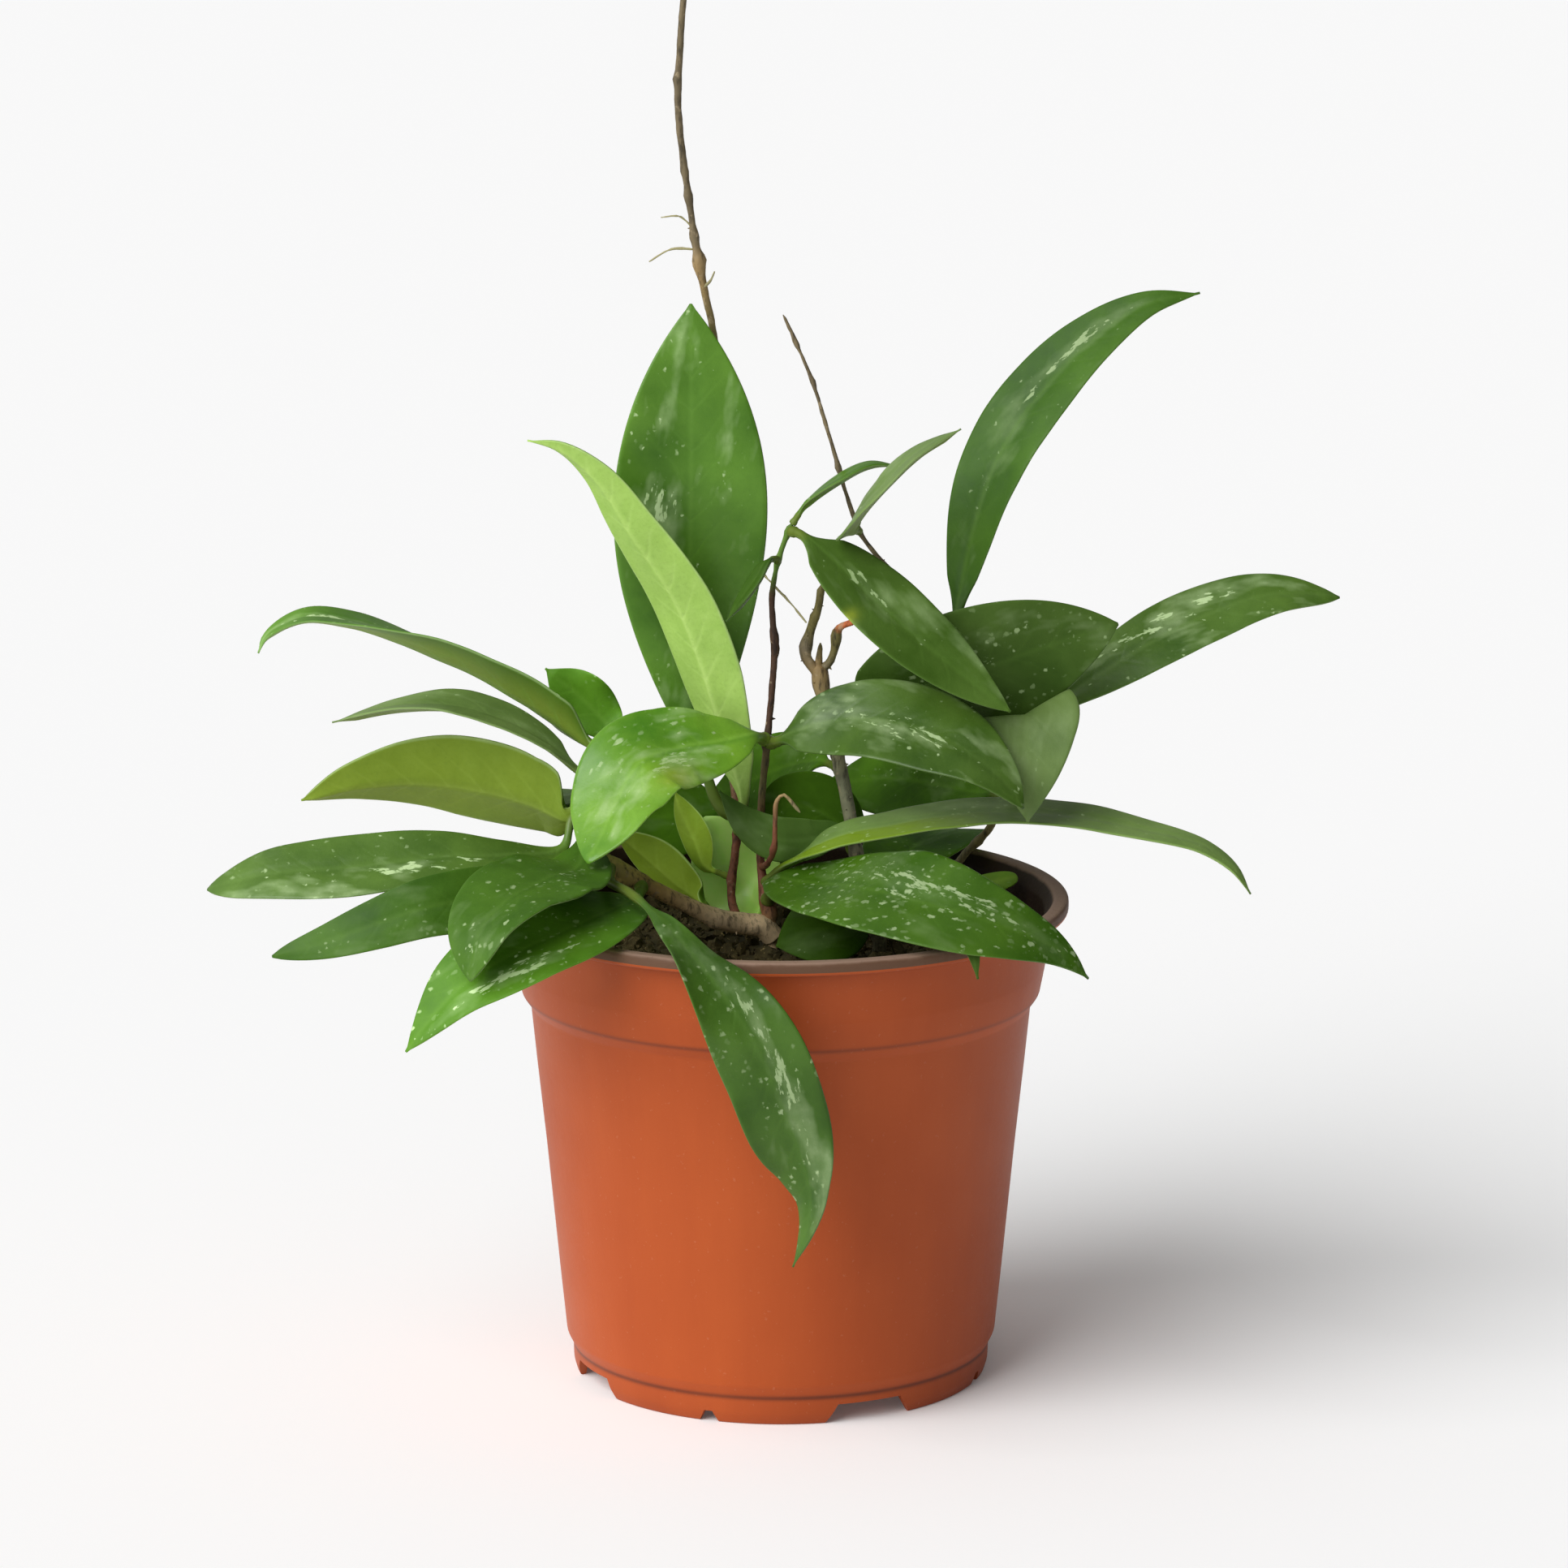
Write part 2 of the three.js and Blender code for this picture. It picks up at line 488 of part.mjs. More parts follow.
function stem(names) {
  let solid = branchSolid(names[0]);
  for (const name of names.slice(1)) solid = solid.add(branchSolid(name));
  for (const root of aerialRoots) {
    if (names.includes(root.on)) solid = solid.add(rootSolid(root));
  }
  return toGeometry(solid);
}

const joinSearchSteps = 400;

// The point, direction and radius of a branch where it passes a height
function joinAt(name, height) {
  const branch = branches[name];
  const curve = branchCurve(branch);
  const away = (share) => Math.abs(curve.getPointAt(share).z - height);
  let best = 0;
  for (let i = 1; i <= joinSearchSteps; i += 1) {
    if (away(i / joinSearchSteps) < away(best)) best = i / joinSearchSteps;
  }
  return {
    point: curve.getPointAt(best),
    along: curve.getTangentAt(best),
    radius: radiusAt(branch, best),
    atEnd: best > 0.995,
  };
}

// Leaves
const shoulderReach = 1.6;
const shoulderRise = 0.7;
const bladeStations = [0, 0.07, 0.16, 0.28, 0.41, 0.54, 0.67, 0.79, 0.89, 0.96, 1];
const across = [-1, -0.5, 0, 0.5, 1];

function bladeHalfWidth(leaf, share) {
  const { width, belly, point = 2, tip = point } = leaf;
  const rise = (share / belly) ** (point * belly);
  const fall = ((1 - share) / (1 - belly)) ** (tip * (1 - belly));
  return Math.max(tipHalfWidth, (width / 2) * rise * fall);
}

function faceAt(leaf, share, along) {
  const [first, middle, last] = leaf.faces.map((face) => new THREE.Vector3(...face).normalize());
  const face = share < 0.5 ? first.lerp(middle, share * 2) : middle.lerp(last, share * 2 - 1);
  return face.addScaledVector(along, -face.dot(along)).normalize();
}

function stalkRadius(leaf) {
  return THREE.MathUtils.clamp(leaf.width * stalkShare, ...stalkRange);
}

function sectionAt(leaf, centre, along, share, spread) {
  const face = faceAt(leaf, share, along);
  const side = face.clone().cross(along);
  const half = bladeHalfWidth(leaf, share);
  const fold = THREE.MathUtils.degToRad(leaf.fold);
  const wave = (leaf.wave ?? 0) * Math.sin(share * 16) * Math.min(1, share * 4, (1 - share) * 4);
  const ring = [];
  for (const upper of [1, -1]) {
    for (let i = 0; i < across.length; i += 1) {
      const place = upper > 0 ? across[i] : -across[i];
      const turn = THREE.MathUtils.degToRad(upper > 0 ? 162 - 36 * i : -18 - 36 * i);
      const thinning = Math.min(1, Math.abs(place) * 1.4);
      const thickness = THREE.MathUtils.lerp(ribThickness, edgeThickness, thinning);
      const lift = Math.abs(place) * half * Math.sin(fold) - (leaf.curl ?? 0) * half * place ** 2
        + wave * Math.sign(place) * place ** 2 + (upper * thickness) / 2;
      const flatRight = place * half * Math.cos(fold);
      const roundRight = Math.cos(turn) * stalkRadius(leaf);
      const roundLift = Math.sin(turn) * stalkRadius(leaf);
      ring.push(centre.clone()
        .addScaledVector(side, THREE.MathUtils.lerp(roundRight, flatRight, spread))
        .addScaledVector(face, THREE.MathUtils.lerp(roundLift, lift, spread)));
    }
  }
  return ring;
}

// A petiole leaves its branch sideways and bends towards the blade.
function midribFrom(join, leaf) {
  const points = leaf.midrib.map(seen);
  if (join.atEnd) return [join.point, ...points];
  const sideways = points[0].clone().sub(join.point);
  sideways.addScaledVector(join.along, -sideways.dot(join.along)).normalize();
  const shoulder = join.point.clone()
    .addScaledVector(sideways, join.radius + shoulderReach)
    .addScaledVector(join.along, shoulderRise);
  return [join.point, shoulder, ...points];
}

function leafGeometry(leaf) {
  const join = joinAt(leaf.on, leaf.height);
  const curve = new THREE.CatmullRomCurve3(midribFrom(join, leaf), false, 'centripetal');
  const length = curve.getLength();
  const slant = Math.abs(curve.getTangentAt(0).dot(join.along));
  const lean = Math.sqrt(1 - slant ** 2);
  const start = join.atEnd ? leafGap : (join.radius + leafGap + stalkRadius(leaf) * slant) / lean;
  const bladeStart = Math.max(leaf.petiole, start + 1.5);
  const stations = [
    { at: start, share: 0, spread: 0 },
    { at: (start + bladeStart) / 2, share: 0, spread: 0 },
  ];
  for (const share of bladeStations) {
    const at = bladeStart + (length - bladeStart) * share;
    stations.push({ at, share, spread: Math.min(1, share / 0.12) });
  }
  return skinOver(stations.map(({ at, share, spread }) => {
    const reach = Math.min(1, at / length);
    return sectionAt(leaf, curve.getPointAt(reach), curve.getTangentAt(reach), share, spread);
  }));
}

// Pot
const lathePoints = (pairs) => pairs.map(([radius, height]) => new THREE.Vector2(radius, height));

// The wall outside, from the foot to under the lip
const outsideWall = [
  [footRadius, 0], [39.5, 2], [39.6, footStep], [40.8, 7.7], [42.1, 20.6], [44.4, 44.7], [46.1, 60.6],
  [47.2, 71.7], [48.9, bandBottom], [49.9, 79.3], [50.7, potHeight - lipHeight],
];

function insideWall() {
  return outsideWall.slice(3).map(([radius, height]) => [radius - wallThickness, height]);
}

function turned(pairs) {
  const geometry = new THREE.LatheGeometry(lathePoints(pairs), roundSides);
  geometry.rotateX(Math.PI / 2);
  return geometry;
}

function notch(depth, halfWidth, slope, azimuth) {
  const shape = new THREE.Shape();
  shape.moveTo(-halfWidth, -1);
  shape.lineTo(halfWidth, -1);
  shape.lineTo(halfWidth, 0);
  shape.lineTo(halfWidth - slope, depth);
  shape.lineTo(slope - halfWidth, depth);
  shape.lineTo(-halfWidth, 0);
  shape.closePath();
  const geometry = new THREE.ExtrudeGeometry(shape, { depth: 14, bevelEnabled: false });
  geometry.rotateX(Math.PI / 2);
  geometry.translate(0, 1 - footRadius + 10, 0);
  geometry.rotateZ(THREE.MathUtils.degToRad(azimuth));
  return toSolid(geometry);
}

function drainHole(index) {
  const geometry = new THREE.CylinderGeometry(drainHoleRadius, drainHoleRadius, 12, 16);
  geometry.rotateX(Math.PI / 2);
  geometry.translate(drainHoleCircle, 0, floorUnderside);
  geometry.rotateZ((index / drainHoleCount) * 2 * Math.PI);
  return toSolid(geometry);
}

function pot() {
  const floorTop = floorUnderside + wallThickness;
  const inside = insideWall();
  const profile = [
    [0, floorUnderside], [footRadius - wallThickness, floorUnderside], [footRadius - wallThickness, 0],
    ...outsideWall,
    [rimRadius, potHeight - lipHeight], [rimRadius, potHeight - 0.4], [rimRadius - 0.4, potHeight],
    [rimRadius - lipWidth + 0.4, potHeight], [rimRadius - lipWidth, potHeight - 0.4],
    ...inside.reverse(), [footRadius - wallThickness, floorTop], [0, floorTop],
  ];
  let solid = toSolid(turned(profile));
  for (let quarter = 0; quarter < 4; quarter += 1) {
    const turn = quarter * 90;
    solid = solid.subtract(
      notch(largeNotchDepth, largeNotchHalfWidth, largeNotchSlope, largeNotchAzimuth + turn),
    );
    solid = solid.subtract(
      notch(smallNotchDepth, smallNotchHalfWidth, smallNotchSlope, smallNotchAzimuth + turn),
    );
  }
  for (let index = 0; index < drainHoleCount; index += 1) solid = solid.subtract(drainHole(index));
  return toGeometry(solid);
}

// Soil
function stemHole(name) {
  const branch = branches[name];
  const top = seen(branch.points[0]);
  const depth = buriedDepth + soilGap;
  const radius = branch.radius[0] + stemClearance;
  const geometry = new THREE.CylinderGeometry(radius, radius, depth + 5, 12);
  geometry.rotateX(Math.PI / 2);
  geometry.translate(top.x, top.y, soilHeight - depth + (depth + 5) / 2);
  return toSolid(geometry);
}

function soil() {
  const bottom = floorUnderside + wallThickness + soilGap;
  const side = insideWall().filter(([, height]) => height < soilHeight)
    .map(([radius, height]) => [radius - soilGap, height]);
  const inner = footRadius - wallThickness - soilGap;
  const topRadius = side.at(-1)[0] + 0.1;
  let solid = toSolid(turned([[0, bottom], [inner, bottom], ...side, [topRadius, soilHeight],
      [0, soilHeight]]));
  for (const name of Object.keys(branches)) {
    if (branches[name].rooted) solid = solid.subtract(stemHole(name));
  }
  return toGeometry(solid);
}

// The whole plant in its pot
const plant = new THREE.Group();

function add(name, geometry, material) {
  const mesh = new THREE.Mesh(geometry, material);
  mesh.name = name;
  plant.add(mesh);
}

function leafFinish(name) {
  if (brightLeaves.includes(name)) return finish('leafBright');
  return finish(oliveLeaves.includes(name) ? 'leafOlive' : 'leafDark');
}

add('pot', pot(), finish('terracotta'));
add('soil', soil(), finish('soil'));
add('stem_main', stem(['vine', 'left', 'tall', 'stub']), finish('bark'));
add('stem_right', stem(['right', 'knob', 'bud', 'fork']), finish('bark'));
add('stem_far_right', stem(['farRight']), finish('bark'));
for (const leaf of leaves) add(leaf.name, leafGeometry(leaf), leafFinish(leaf.name));

export default plant;
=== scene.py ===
import json
import math

import bmesh
import bpy
import numpy as np
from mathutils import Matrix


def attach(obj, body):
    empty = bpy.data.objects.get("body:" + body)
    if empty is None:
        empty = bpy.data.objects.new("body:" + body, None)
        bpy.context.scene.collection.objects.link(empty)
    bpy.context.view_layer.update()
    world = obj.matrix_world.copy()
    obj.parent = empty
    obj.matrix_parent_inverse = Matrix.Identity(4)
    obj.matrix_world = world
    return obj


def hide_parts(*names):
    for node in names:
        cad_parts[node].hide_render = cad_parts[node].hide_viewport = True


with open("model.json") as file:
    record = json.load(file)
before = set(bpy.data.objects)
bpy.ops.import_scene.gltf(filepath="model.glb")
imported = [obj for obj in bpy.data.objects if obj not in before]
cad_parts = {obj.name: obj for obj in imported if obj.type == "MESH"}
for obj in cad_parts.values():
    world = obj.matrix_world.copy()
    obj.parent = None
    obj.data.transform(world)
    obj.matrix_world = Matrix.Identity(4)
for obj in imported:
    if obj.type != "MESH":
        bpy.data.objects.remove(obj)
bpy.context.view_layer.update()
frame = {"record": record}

# A young hoya in a plastic nursery pot. The tables are in millimetres, and what is built is in metres.
mm = 0.001
scene = bpy.context.scene
camera = {"place": (0.6, -1200.0, 379.0), "tilt": 0.218, "lens": 150.4, "sensor": 36.0}


def rgb(red, green, blue):  # screen colour, 0 to 255, as linear light
    parts = [value / 255 for value in (red, green, blue)]
    return tuple(p / 12.92 if p <= 0.04045 else ((p + 0.055) / 1.055) ** 2.4 for p in parts) + (1.0,)


# Node trees

class Wire:  # a socket that can stand in sums
    def __init__(self, maker, socket):
        self.maker, self.socket = maker, socket

    def worked(self, operation, *others):
        return self.maker.maths(operation, self, *others)

    def __add__(self, other):
        return self.worked("ADD", other)

    def __sub__(self, other):
        return self.worked("SUBTRACT", other)

    def __rsub__(self, other):
        return self.maker.maths("SUBTRACT", other, self)

    def __mul__(self, other):
        return self.worked("MULTIPLY", other)

    def __truediv__(self, other):
        return self.worked("DIVIDE", other)

    def __pow__(self, other):
        return self.worked("POWER", other)

    def __neg__(self):
        return self.worked("MULTIPLY", -1.0)

    def __abs__(self):
        return self.worked("ABSOLUTE")

    __radd__, __rmul__ = __add__, __mul__

    def over(self, other):  # 1 where this is greater
        return self.worked("GREATER_THAN", other)

    def lowest(self, other):
        return self.worked("MINIMUM", other)

    def highest(self, other):
        return self.worked("MAXIMUM", other)

    def sine(self):
        return self.worked("SINE")

    def cosine(self):
        return self.worked("COSINE")

    def floored(self):
        return self.worked("FLOOR")

    def clamped(self):
        return self.highest(0.0).lowest(1.0)

    def past(self, start, width):  # 0 up to the start, then rising to 1 over the width
        return ((self - start) / width).clamped()

    def hump(self, width):  # 1 at zero, falling away to both sides
        return self.maker.maths("EXPONENT", -((self / width) ** 2.0))


class Maker:  # adds nodes to one tree
    def __init__(self, tree):
        self.tree = tree

    def node(self, kind, inputs=None, **settings):  # inputs are values or wires, by name or number
        made = self.tree.nodes.new(kind)
        for name, value in settings.items():
            setattr(made, name, value)
        for key, value in (inputs or {}).items():
            if isinstance(value, Wire):
                self.tree.links.new(value.socket, made.inputs[key])
            else:
                made.inputs[key].default_value = value
        return made

    def wire(self, made, output=0):
        return Wire(self, made.outputs[output])

    def out(self, kind, inputs=None, output=0, **settings):  # a node of which one output is used
        return self.wire(self.node(kind, inputs, **settings), output)

    def maths(self, operation, *values):
        return self.out("ShaderNodeMath", dict(enumerate(values)), operation=operation)

    def vectors(self, operation, *values):
        return self.out("ShaderNodeVectorMath", dict(enumerate(values)), operation=operation)

    def scaled(self, vector, scale):
        return self.out("ShaderNodeVectorMath", {0: vector, "Scale": scale}, operation="SCALE")

    def joined(self, x, y, z):
        return self.out("ShaderNodeCombineXYZ", {0: x, 1: y, 2: z})

    def parts(self, vector):
        made = self.node("ShaderNodeSeparateXYZ", {0: vector})
        return [self.wire(made, index) for index in range(3)]

    def mixed(self, share, first, second):  # colours
        return self.out("ShaderNodeMix", {0: share, 6: first, 7: second}, 2, data_type="RGBA")

    def layered(self, base, *layers):  # colours laid over one another, each with its share
        for share, colour in layers:
            base = self.mixed(share, base, colour)
        return base

    def blended(self, share, first, second):  # numbers
        return first + (second - first) * share

    def noise(self, place, scale, detail, roughness, output=0):  # how fine, how many layers, how rough they are
        inputs = {"Vector": place, "Scale": scale, "Detail": detail, "Roughness": roughness}
        return self.out("ShaderNodeTexNoise", inputs, output)

    def place(self):  # where on the object a point of a material lies
        return self.out("ShaderNodeTexCoord", None, "Object")

    def read(self, name, output="Fac"):  # a value that a material finds on the mesh
        return self.out("ShaderNodeAttribute", None, output, attribute_name=name)

    def remembered(self, name, kind="FLOAT"):  # a value that a geometry tree finds on the mesh
        return self.out("GeometryNodeInputNamedAttribute", {"Name": name}, data_type=kind)

    def kept(self, geometry, name, value, kind="FLOAT"):  # keeps a value on the points for the material
        inputs = {"Geometry": geometry, "Name": name, "Value": value}
        return self.out("GeometryNodeStoreNamedAttribute", inputs, data_type=kind, domain="POINT")

    def bumped(self, height, strength, distance=0.0003):
        return self.out("ShaderNodeBump", {"Height": height, "Strength": strength, "Distance": distance})


def newMaterial(name):
    material = bpy.data.materials.new(name)
    material.use_nodes = True
    material.node_tree.nodes.clear()
    return material, Maker(material.node_tree)


def surface(maker, fixed, **inputs):  # a principled surface; fixed holds its constant values
    values = {key.replace("_", " "): value for key, value in inputs.items()}
    shader = maker.out("ShaderNodeBsdfPrincipled", {**values, **fixed}, "BSDF")
    maker.node("ShaderNodeOutputMaterial", {"Surface": shader})


def newTree(name, sockets):  # a geometry tree with named inputs and their usual values; a material has none
    tree = bpy.data.node_groups.new(name, "GeometryNodeTree")
    kinds = {int: "NodeSocketInt", float: "NodeSocketFloat", type(None): "NodeSocketMaterial"}
    tree.interface.new_socket("Geometry", in_out="INPUT", socket_type="NodeSocketGeometry")
    for socketName, value in sockets.items():
        made = tree.interface.new_socket(socketName, in_out="INPUT", socket_type=kinds[type(value)])
        if value is not None:
            made.default_value = value
    tree.interface.new_socket("Geometry", in_out="OUTPUT", socket_type="NodeSocketGeometry")
    maker = Maker(tree)
    entry = maker.node("NodeGroupInput")
    given = {output.name: Wire(maker, output) for output in entry.outputs if output.name}
    return tree, maker, given


def closeTree(maker, geometry, material):  # every tree ends with real faces and a material
    real = maker.out("GeometryNodeRealizeInstances", {0: geometry})
    coated = maker.out("GeometryNodeSetMaterial", {"Geometry": real, "Material": material})
    maker.node("NodeGroupOutput", {0: coated})


def placed(name, mesh):
    piece = bpy.data.objects.new(name, mesh)
    scene.collection.objects.link(piece)
    return piece


def frozen(source):  # the mesh that an object's modifiers give, in place of the object
    bpy.context.view_layer.update()
    evaluated = source.evaluated_get(bpy.context.evaluated_depsgraph_get())
    result = bpy.data.meshes.new_from_object(evaluated)
    bpy.data.objects.remove(source)
    return result


def grown(name, mesh, tree, values):  # runs a tree over a mesh; values holds the inputs that aren't as usual
    source = placed(name + "Source", mesh)
    modifier = source.modifiers.new("grow", "NODES")
    modifier.node_group = tree
    for item in tree.interface.items_tree:
        if item.item_type == "SOCKET" and item.in_out == "INPUT" and item.name in values:
            value = values[item.name]
            modifier[item.identifier] = float(value) if item.socket_type == "NodeSocketFloat" else value
    return placed(name, frozen(source))


def meshFrom(work, name):
    mesh = bpy.data.meshes.new(name)
    work.to_mesh(mesh)
    work.free()
    return mesh


def faceOutwards(mesh):
    work = bmesh.new()
    work.from_mesh(mesh)
    if work.calc_volume(signed=True) < 0:
        bmesh.ops.reverse_faces(work, faces=work.faces)
    work.to_mesh(mesh)
    work.free()


def smoothed(mesh, angle):
    mesh.polygons.foreach_set("use_smooth", [True] * len(mesh.polygons))
    mesh.set_sharp_from_angle(angle=math.radians(angle))


def unit(vector):
    return vector / np.linalg.norm(vector)


def finished(piece, slot, *nodes):
    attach(piece, "root")
    if nodes:
        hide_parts(*nodes)


# Pot

pot = {
    "height": 92.0, "rimRadius": 54.2, "lipHeight": 2.6, "lipWidth": 3.0, "lipRound": 0.5, "wall": 1.1,
    "footRadius": 38.9, "footStep": 5.3, "bandBottom": 74.1, "floorUnder": 4.2, "sides": 160, "corner": 0.45,
    "drain": {"radius": 3.0, "circle": 25.0, "count": 6, "sides": 24, "below": 2.0, "above": 4.0},
    "notches": ({"depth": 3.7, "half": 8.6, "slope": 2.2, "azimuth": 25.0},
                {"depth": 2.2, "half": 1.9, "slope": 1.1, "azimuth": -20.0}),
    "notchReach": (11.0, -3.0), "sharpFrom": 32,
    # The crease colour is painted shade, laid in the dark lines under the ledges; it also darkens the foot.
    "outside": rgb(176, 80, 30), "outsideDeep": rgb(158, 66, 22), "crease": rgb(92, 42, 24),
    "dusty": rgb(224, 196, 170), "roughness": 0.5, "footDarkening": 7.0, "lip": rgb(142, 116, 99),
    # The lip's dark face colour marks speckles and also paints shade on the lip's outer face; the inside colour
    # is painted shade down the inner wall.
    "lipSpeckAndShade": rgb(92, 64, 45), "inside": rgb(50, 35, 25), "scuff": rgb(120, 84, 62),
    # how fine each pattern of the plastic is, how many layers it has and how rough they are
    "streaks": (210.0, 3.0, 0.6), "patches": (26.0, 3.0, 0.5), "dust": (1100.0, 3.0, 0.6),
    "grain": (2600.0, 2.0, 0.5), "cloud": (60.0, 4.0, 0.6), "insideGrain": (1400.0, 3.0, 0.6),
}

# Radius and height of the outside, from the foot to under the lip. The inside follows it above the foot's step.
outsideWall = [
    (pot["footRadius"], 0), (39.5, 2), (39.6, pot["footStep"]), (40.8, 7.7), (42.1, 20.6), (44.4, 44.7),
    (46.1, 60.6), (47.2, 71.7), (48.9, pot["bandBottom"]), (49.9, 79.3),
    (50.7, pot["height"] - pot["lipHeight"]),
]
wallAboveFoot = outsideWall[3:]


def softened(profile, reach, most=0.45):  # rounds each corner, over at most this share of the edges beside it
    result = [profile[0]]
    for before, corner, after in zip(profile, profile[1:], profile[2:]):
        a, b, c = (np.array(point[:2], float) for point in (before, corner, after))
        into, out = b - a, c - b
        near = b - unit(into) * min(reach, np.linalg.norm(into) * most)
        far = b + unit(out) * min(reach, np.linalg.norm(out) * most)
        for t in (0.0, 0.33, 0.67, 1.0):
            point = near * (1 - t) ** 2 + b * 2 * t * (1 - t) + far * t ** 2
            result.append((point[0], point[1], corner[2] if t >= 0.5 else before[2]))
    return result + [profile[-1]]


def circle(radius, count, middle=(0.0, 0.0)):
    turns = [2 * math.pi * i / count for i in range(count)]
    return [(middle[0] + radius * math.cos(turn), middle[1] + radius * math.sin(turn)) for turn in turns]


def ringOf(work, points):
    return [work.verts.new((x * mm, y * mm, z * mm)) for x, y, z in points]


def turned(profile, sides):  # profile of (radius, height, material) from axis to axis
    work = bmesh.new()
    rings = []
    for radius, height, _ in profile:
        outline = circle(radius, sides if radius > 1e-6 else 1)
        rings.append(ringOf(work, [(x, y, height) for x, y in outline]))
    for (low, high), (_, _, kind) in zip(zip(rings, rings[1:]), profile):
        for i in range(sides):
            j = (i + 1) % sides
            corners = [low[i % len(low)], low[j % len(low)], high[j % len(high)], high[i % len(high)]]
            unique = list(dict.fromkeys(corners))
            if len(unique) > 2:
                work.faces.new(unique).material_index = kind
    mesh = meshFrom(work, "turned")
    faceOutwards(mesh)
    return mesh


def prismFrom(work, rings):
    near, far = rings
    faces = [work.faces.new(near), work.faces.new(far[::-1])]
    for i in range(len(near)):
        j = (i + 1) % len(near)
        faces.append(work.faces.new([near[j], near[i], far[i], far[j]]))
    bmesh.ops.recalc_face_normals(work, faces=faces)


def notchInto(work, notch, turn):
    half, slope, depth = notch["half"], notch["slope"], notch["depth"]
    outline = [(-half, -1), (half, -1), (half, 0), (half - slope, depth), (slope - half, depth), (-half, 0)]
    angle = math.radians(notch["azimuth"] + turn)
    cos, sin = math.cos(angle), math.sin(angle)
    prismFrom(work, [ringOf(work, [(x * cos - y * sin, x * sin + y * cos, z) for x, z in outline])
                     for y in (reach - pot["footRadius"] for reach in pot["notchReach"])])


def drainInto(work, middle):
    drain = pot["drain"]
    outline = circle(drain["radius"], drain["sides"], middle)
    prismFrom(work, [ringOf(work, [(x, y, height) for x, y in outline])
                     for height in (pot["floorUnder"] - drain["below"], pot["floorUnder"] + drain["above"])])


def potShell(outside, inside):
    edge, lipEnd, bend = pot["rimRadius"], pot["rimRadius"] - pot["lipWidth"], pot["lipRound"]
    top, under = pot["height"], pot["height"] - pot["lipHeight"]
    floorTop, footInside = pot["floorUnder"] + pot["wall"], pot["footRadius"] - pot["wall"]
    profile = [(0, pot["floorUnder"], 0), (footInside, pot["floorUnder"], 0), (footInside, 0, 0)]
    profile += [(radius, height, 0) for radius, height in outsideWall]
    profile += [(edge - bend / 2, under, 0), (edge, under + bend, 1), (edge, top - bend, 1),
                (edge - bend, top, 1), (lipEnd + bend, top, 1), (lipEnd, top - bend, 1)]
    profile += [(radius - pot["wall"], height, 1) for radius, height in wallAboveFoot[::-1]]
    profile += [(footInside, floorTop, 1), (0, floorTop, 1)]
    shell = placed("potShell", turned(softened(profile, pot["corner"]), pot["sides"]))
    work = bmesh.new()
    for quarter in range(4):
        for notch in pot["notches"]:
            notchInto(work, notch, quarter * 90)
    for middle in circle(pot["drain"]["circle"], pot["drain"]["count"]):
        drainInto(work, middle)
    cuts = placed("potCuts", meshFrom(work, "potCuts"))
    for part in (shell, cuts):
        for material in (outside, inside):
            part.data.materials.append(material)
    boolean = shell.modifiers.new("cut", "BOOLEAN")
    boolean.operation, boolean.solver, boolean.object = "DIFFERENCE", "EXACT", cuts
    mesh = frozen(shell)
    bpy.data.objects.remove(cuts)
    smoothed(mesh, pot["sharpFrom"])
    return placed("potShell", mesh)


def potPlastic(name):
    material, maker = newMaterial(name)
    place = maker.place()
    streaks = maker.noise(maker.vectors("MULTIPLY", place, (1.0, 1.0, 0.05)), *pot["streaks"])
    patches, dust, grain = (maker.noise(place, *pot[key]) for key in ("patches", "dust", "grain"))
    height = maker.parts(place)[2] / mm
    underLip = pot["height"] - pot["lipHeight"]
    # Painted shade: dark lines under the foot's step, under the band and under the lip, where shadow falls.
    lines = ((pot["footStep"], 0.5, 0.9), (pot["bandBottom"] - 0.2, 0.45, 0.55), (underLip - 0.3, 0.5, 0.5))
    paintedCreaseShade = sum((height - at).hump(width) * darkness for at, width, darkness in lines)
    base = maker.layered(
        pot["outside"],
        ((streaks * 0.5 + patches * 1.3 - 0.5).clamped(), pot["outsideDeep"]),
        ((paintedCreaseShade * (0.6 + patches * 0.6)).clamped(), pot["crease"]),
        # darker towards the foot, in the crease brown
        ((1.0 - height / pot["footDarkening"]).clamped() * patches * 0.45, pot["crease"]),
        (dust.past(0.66, 0.05) * 0.06, pot["dusty"]))
    shine = (dust - 0.5) * 0.12 + (patches - 0.5) * 0.2 + pot["roughness"]
    surface(maker, {"IOR": 1.45, "Specular IOR Level": 0.3}, Base_Color=base, Roughness=shine,
            Normal=maker.bumped(grain * 0.4 + streaks * 0.6 + patches * 2.0, 0.14))
    return material


def potInside(name):
    material, maker = newMaterial(name)
    place = maker.place()
    cloud, grain = (maker.noise(place, *pot[key]) for key in ("cloud", "insideGrain"))
    x, y, _ = maker.parts(place)
    radius = (x * x + y * y) ** 0.5 / mm + (cloud - 0.5) * 0.8
    base = maker.layered(
        pot["lip"],
        (grain.past(0.6, 0.08) * 0.3, pot["lipSpeckAndShade"]),
        # Painted shade: the outer face of the lip turns dark brown all round, as if shaded by the leaves over
        # it.
        (radius.past(pot["rimRadius"] - 0.35, 0.3) * 0.9, pot["lipSpeckAndShade"]),
        # Painted shade: the inner wall below the lip turns dark brown, like the shade inside the pot.
        (((pot["rimRadius"] - pot["lipWidth"] + 0.2 - radius) / 0.4).clamped(), pot["inside"]),
        (cloud.past(0.62, 0.1) * 0.3, pot["scuff"]))
    surface(maker, {"IOR": 1.45, "Specular IOR Level": 0.25}, Base_Color=base, Roughness=grain * 0.2 + 0.5,
            Normal=maker.bumped(grain, 0.15))
    return material


# Soil

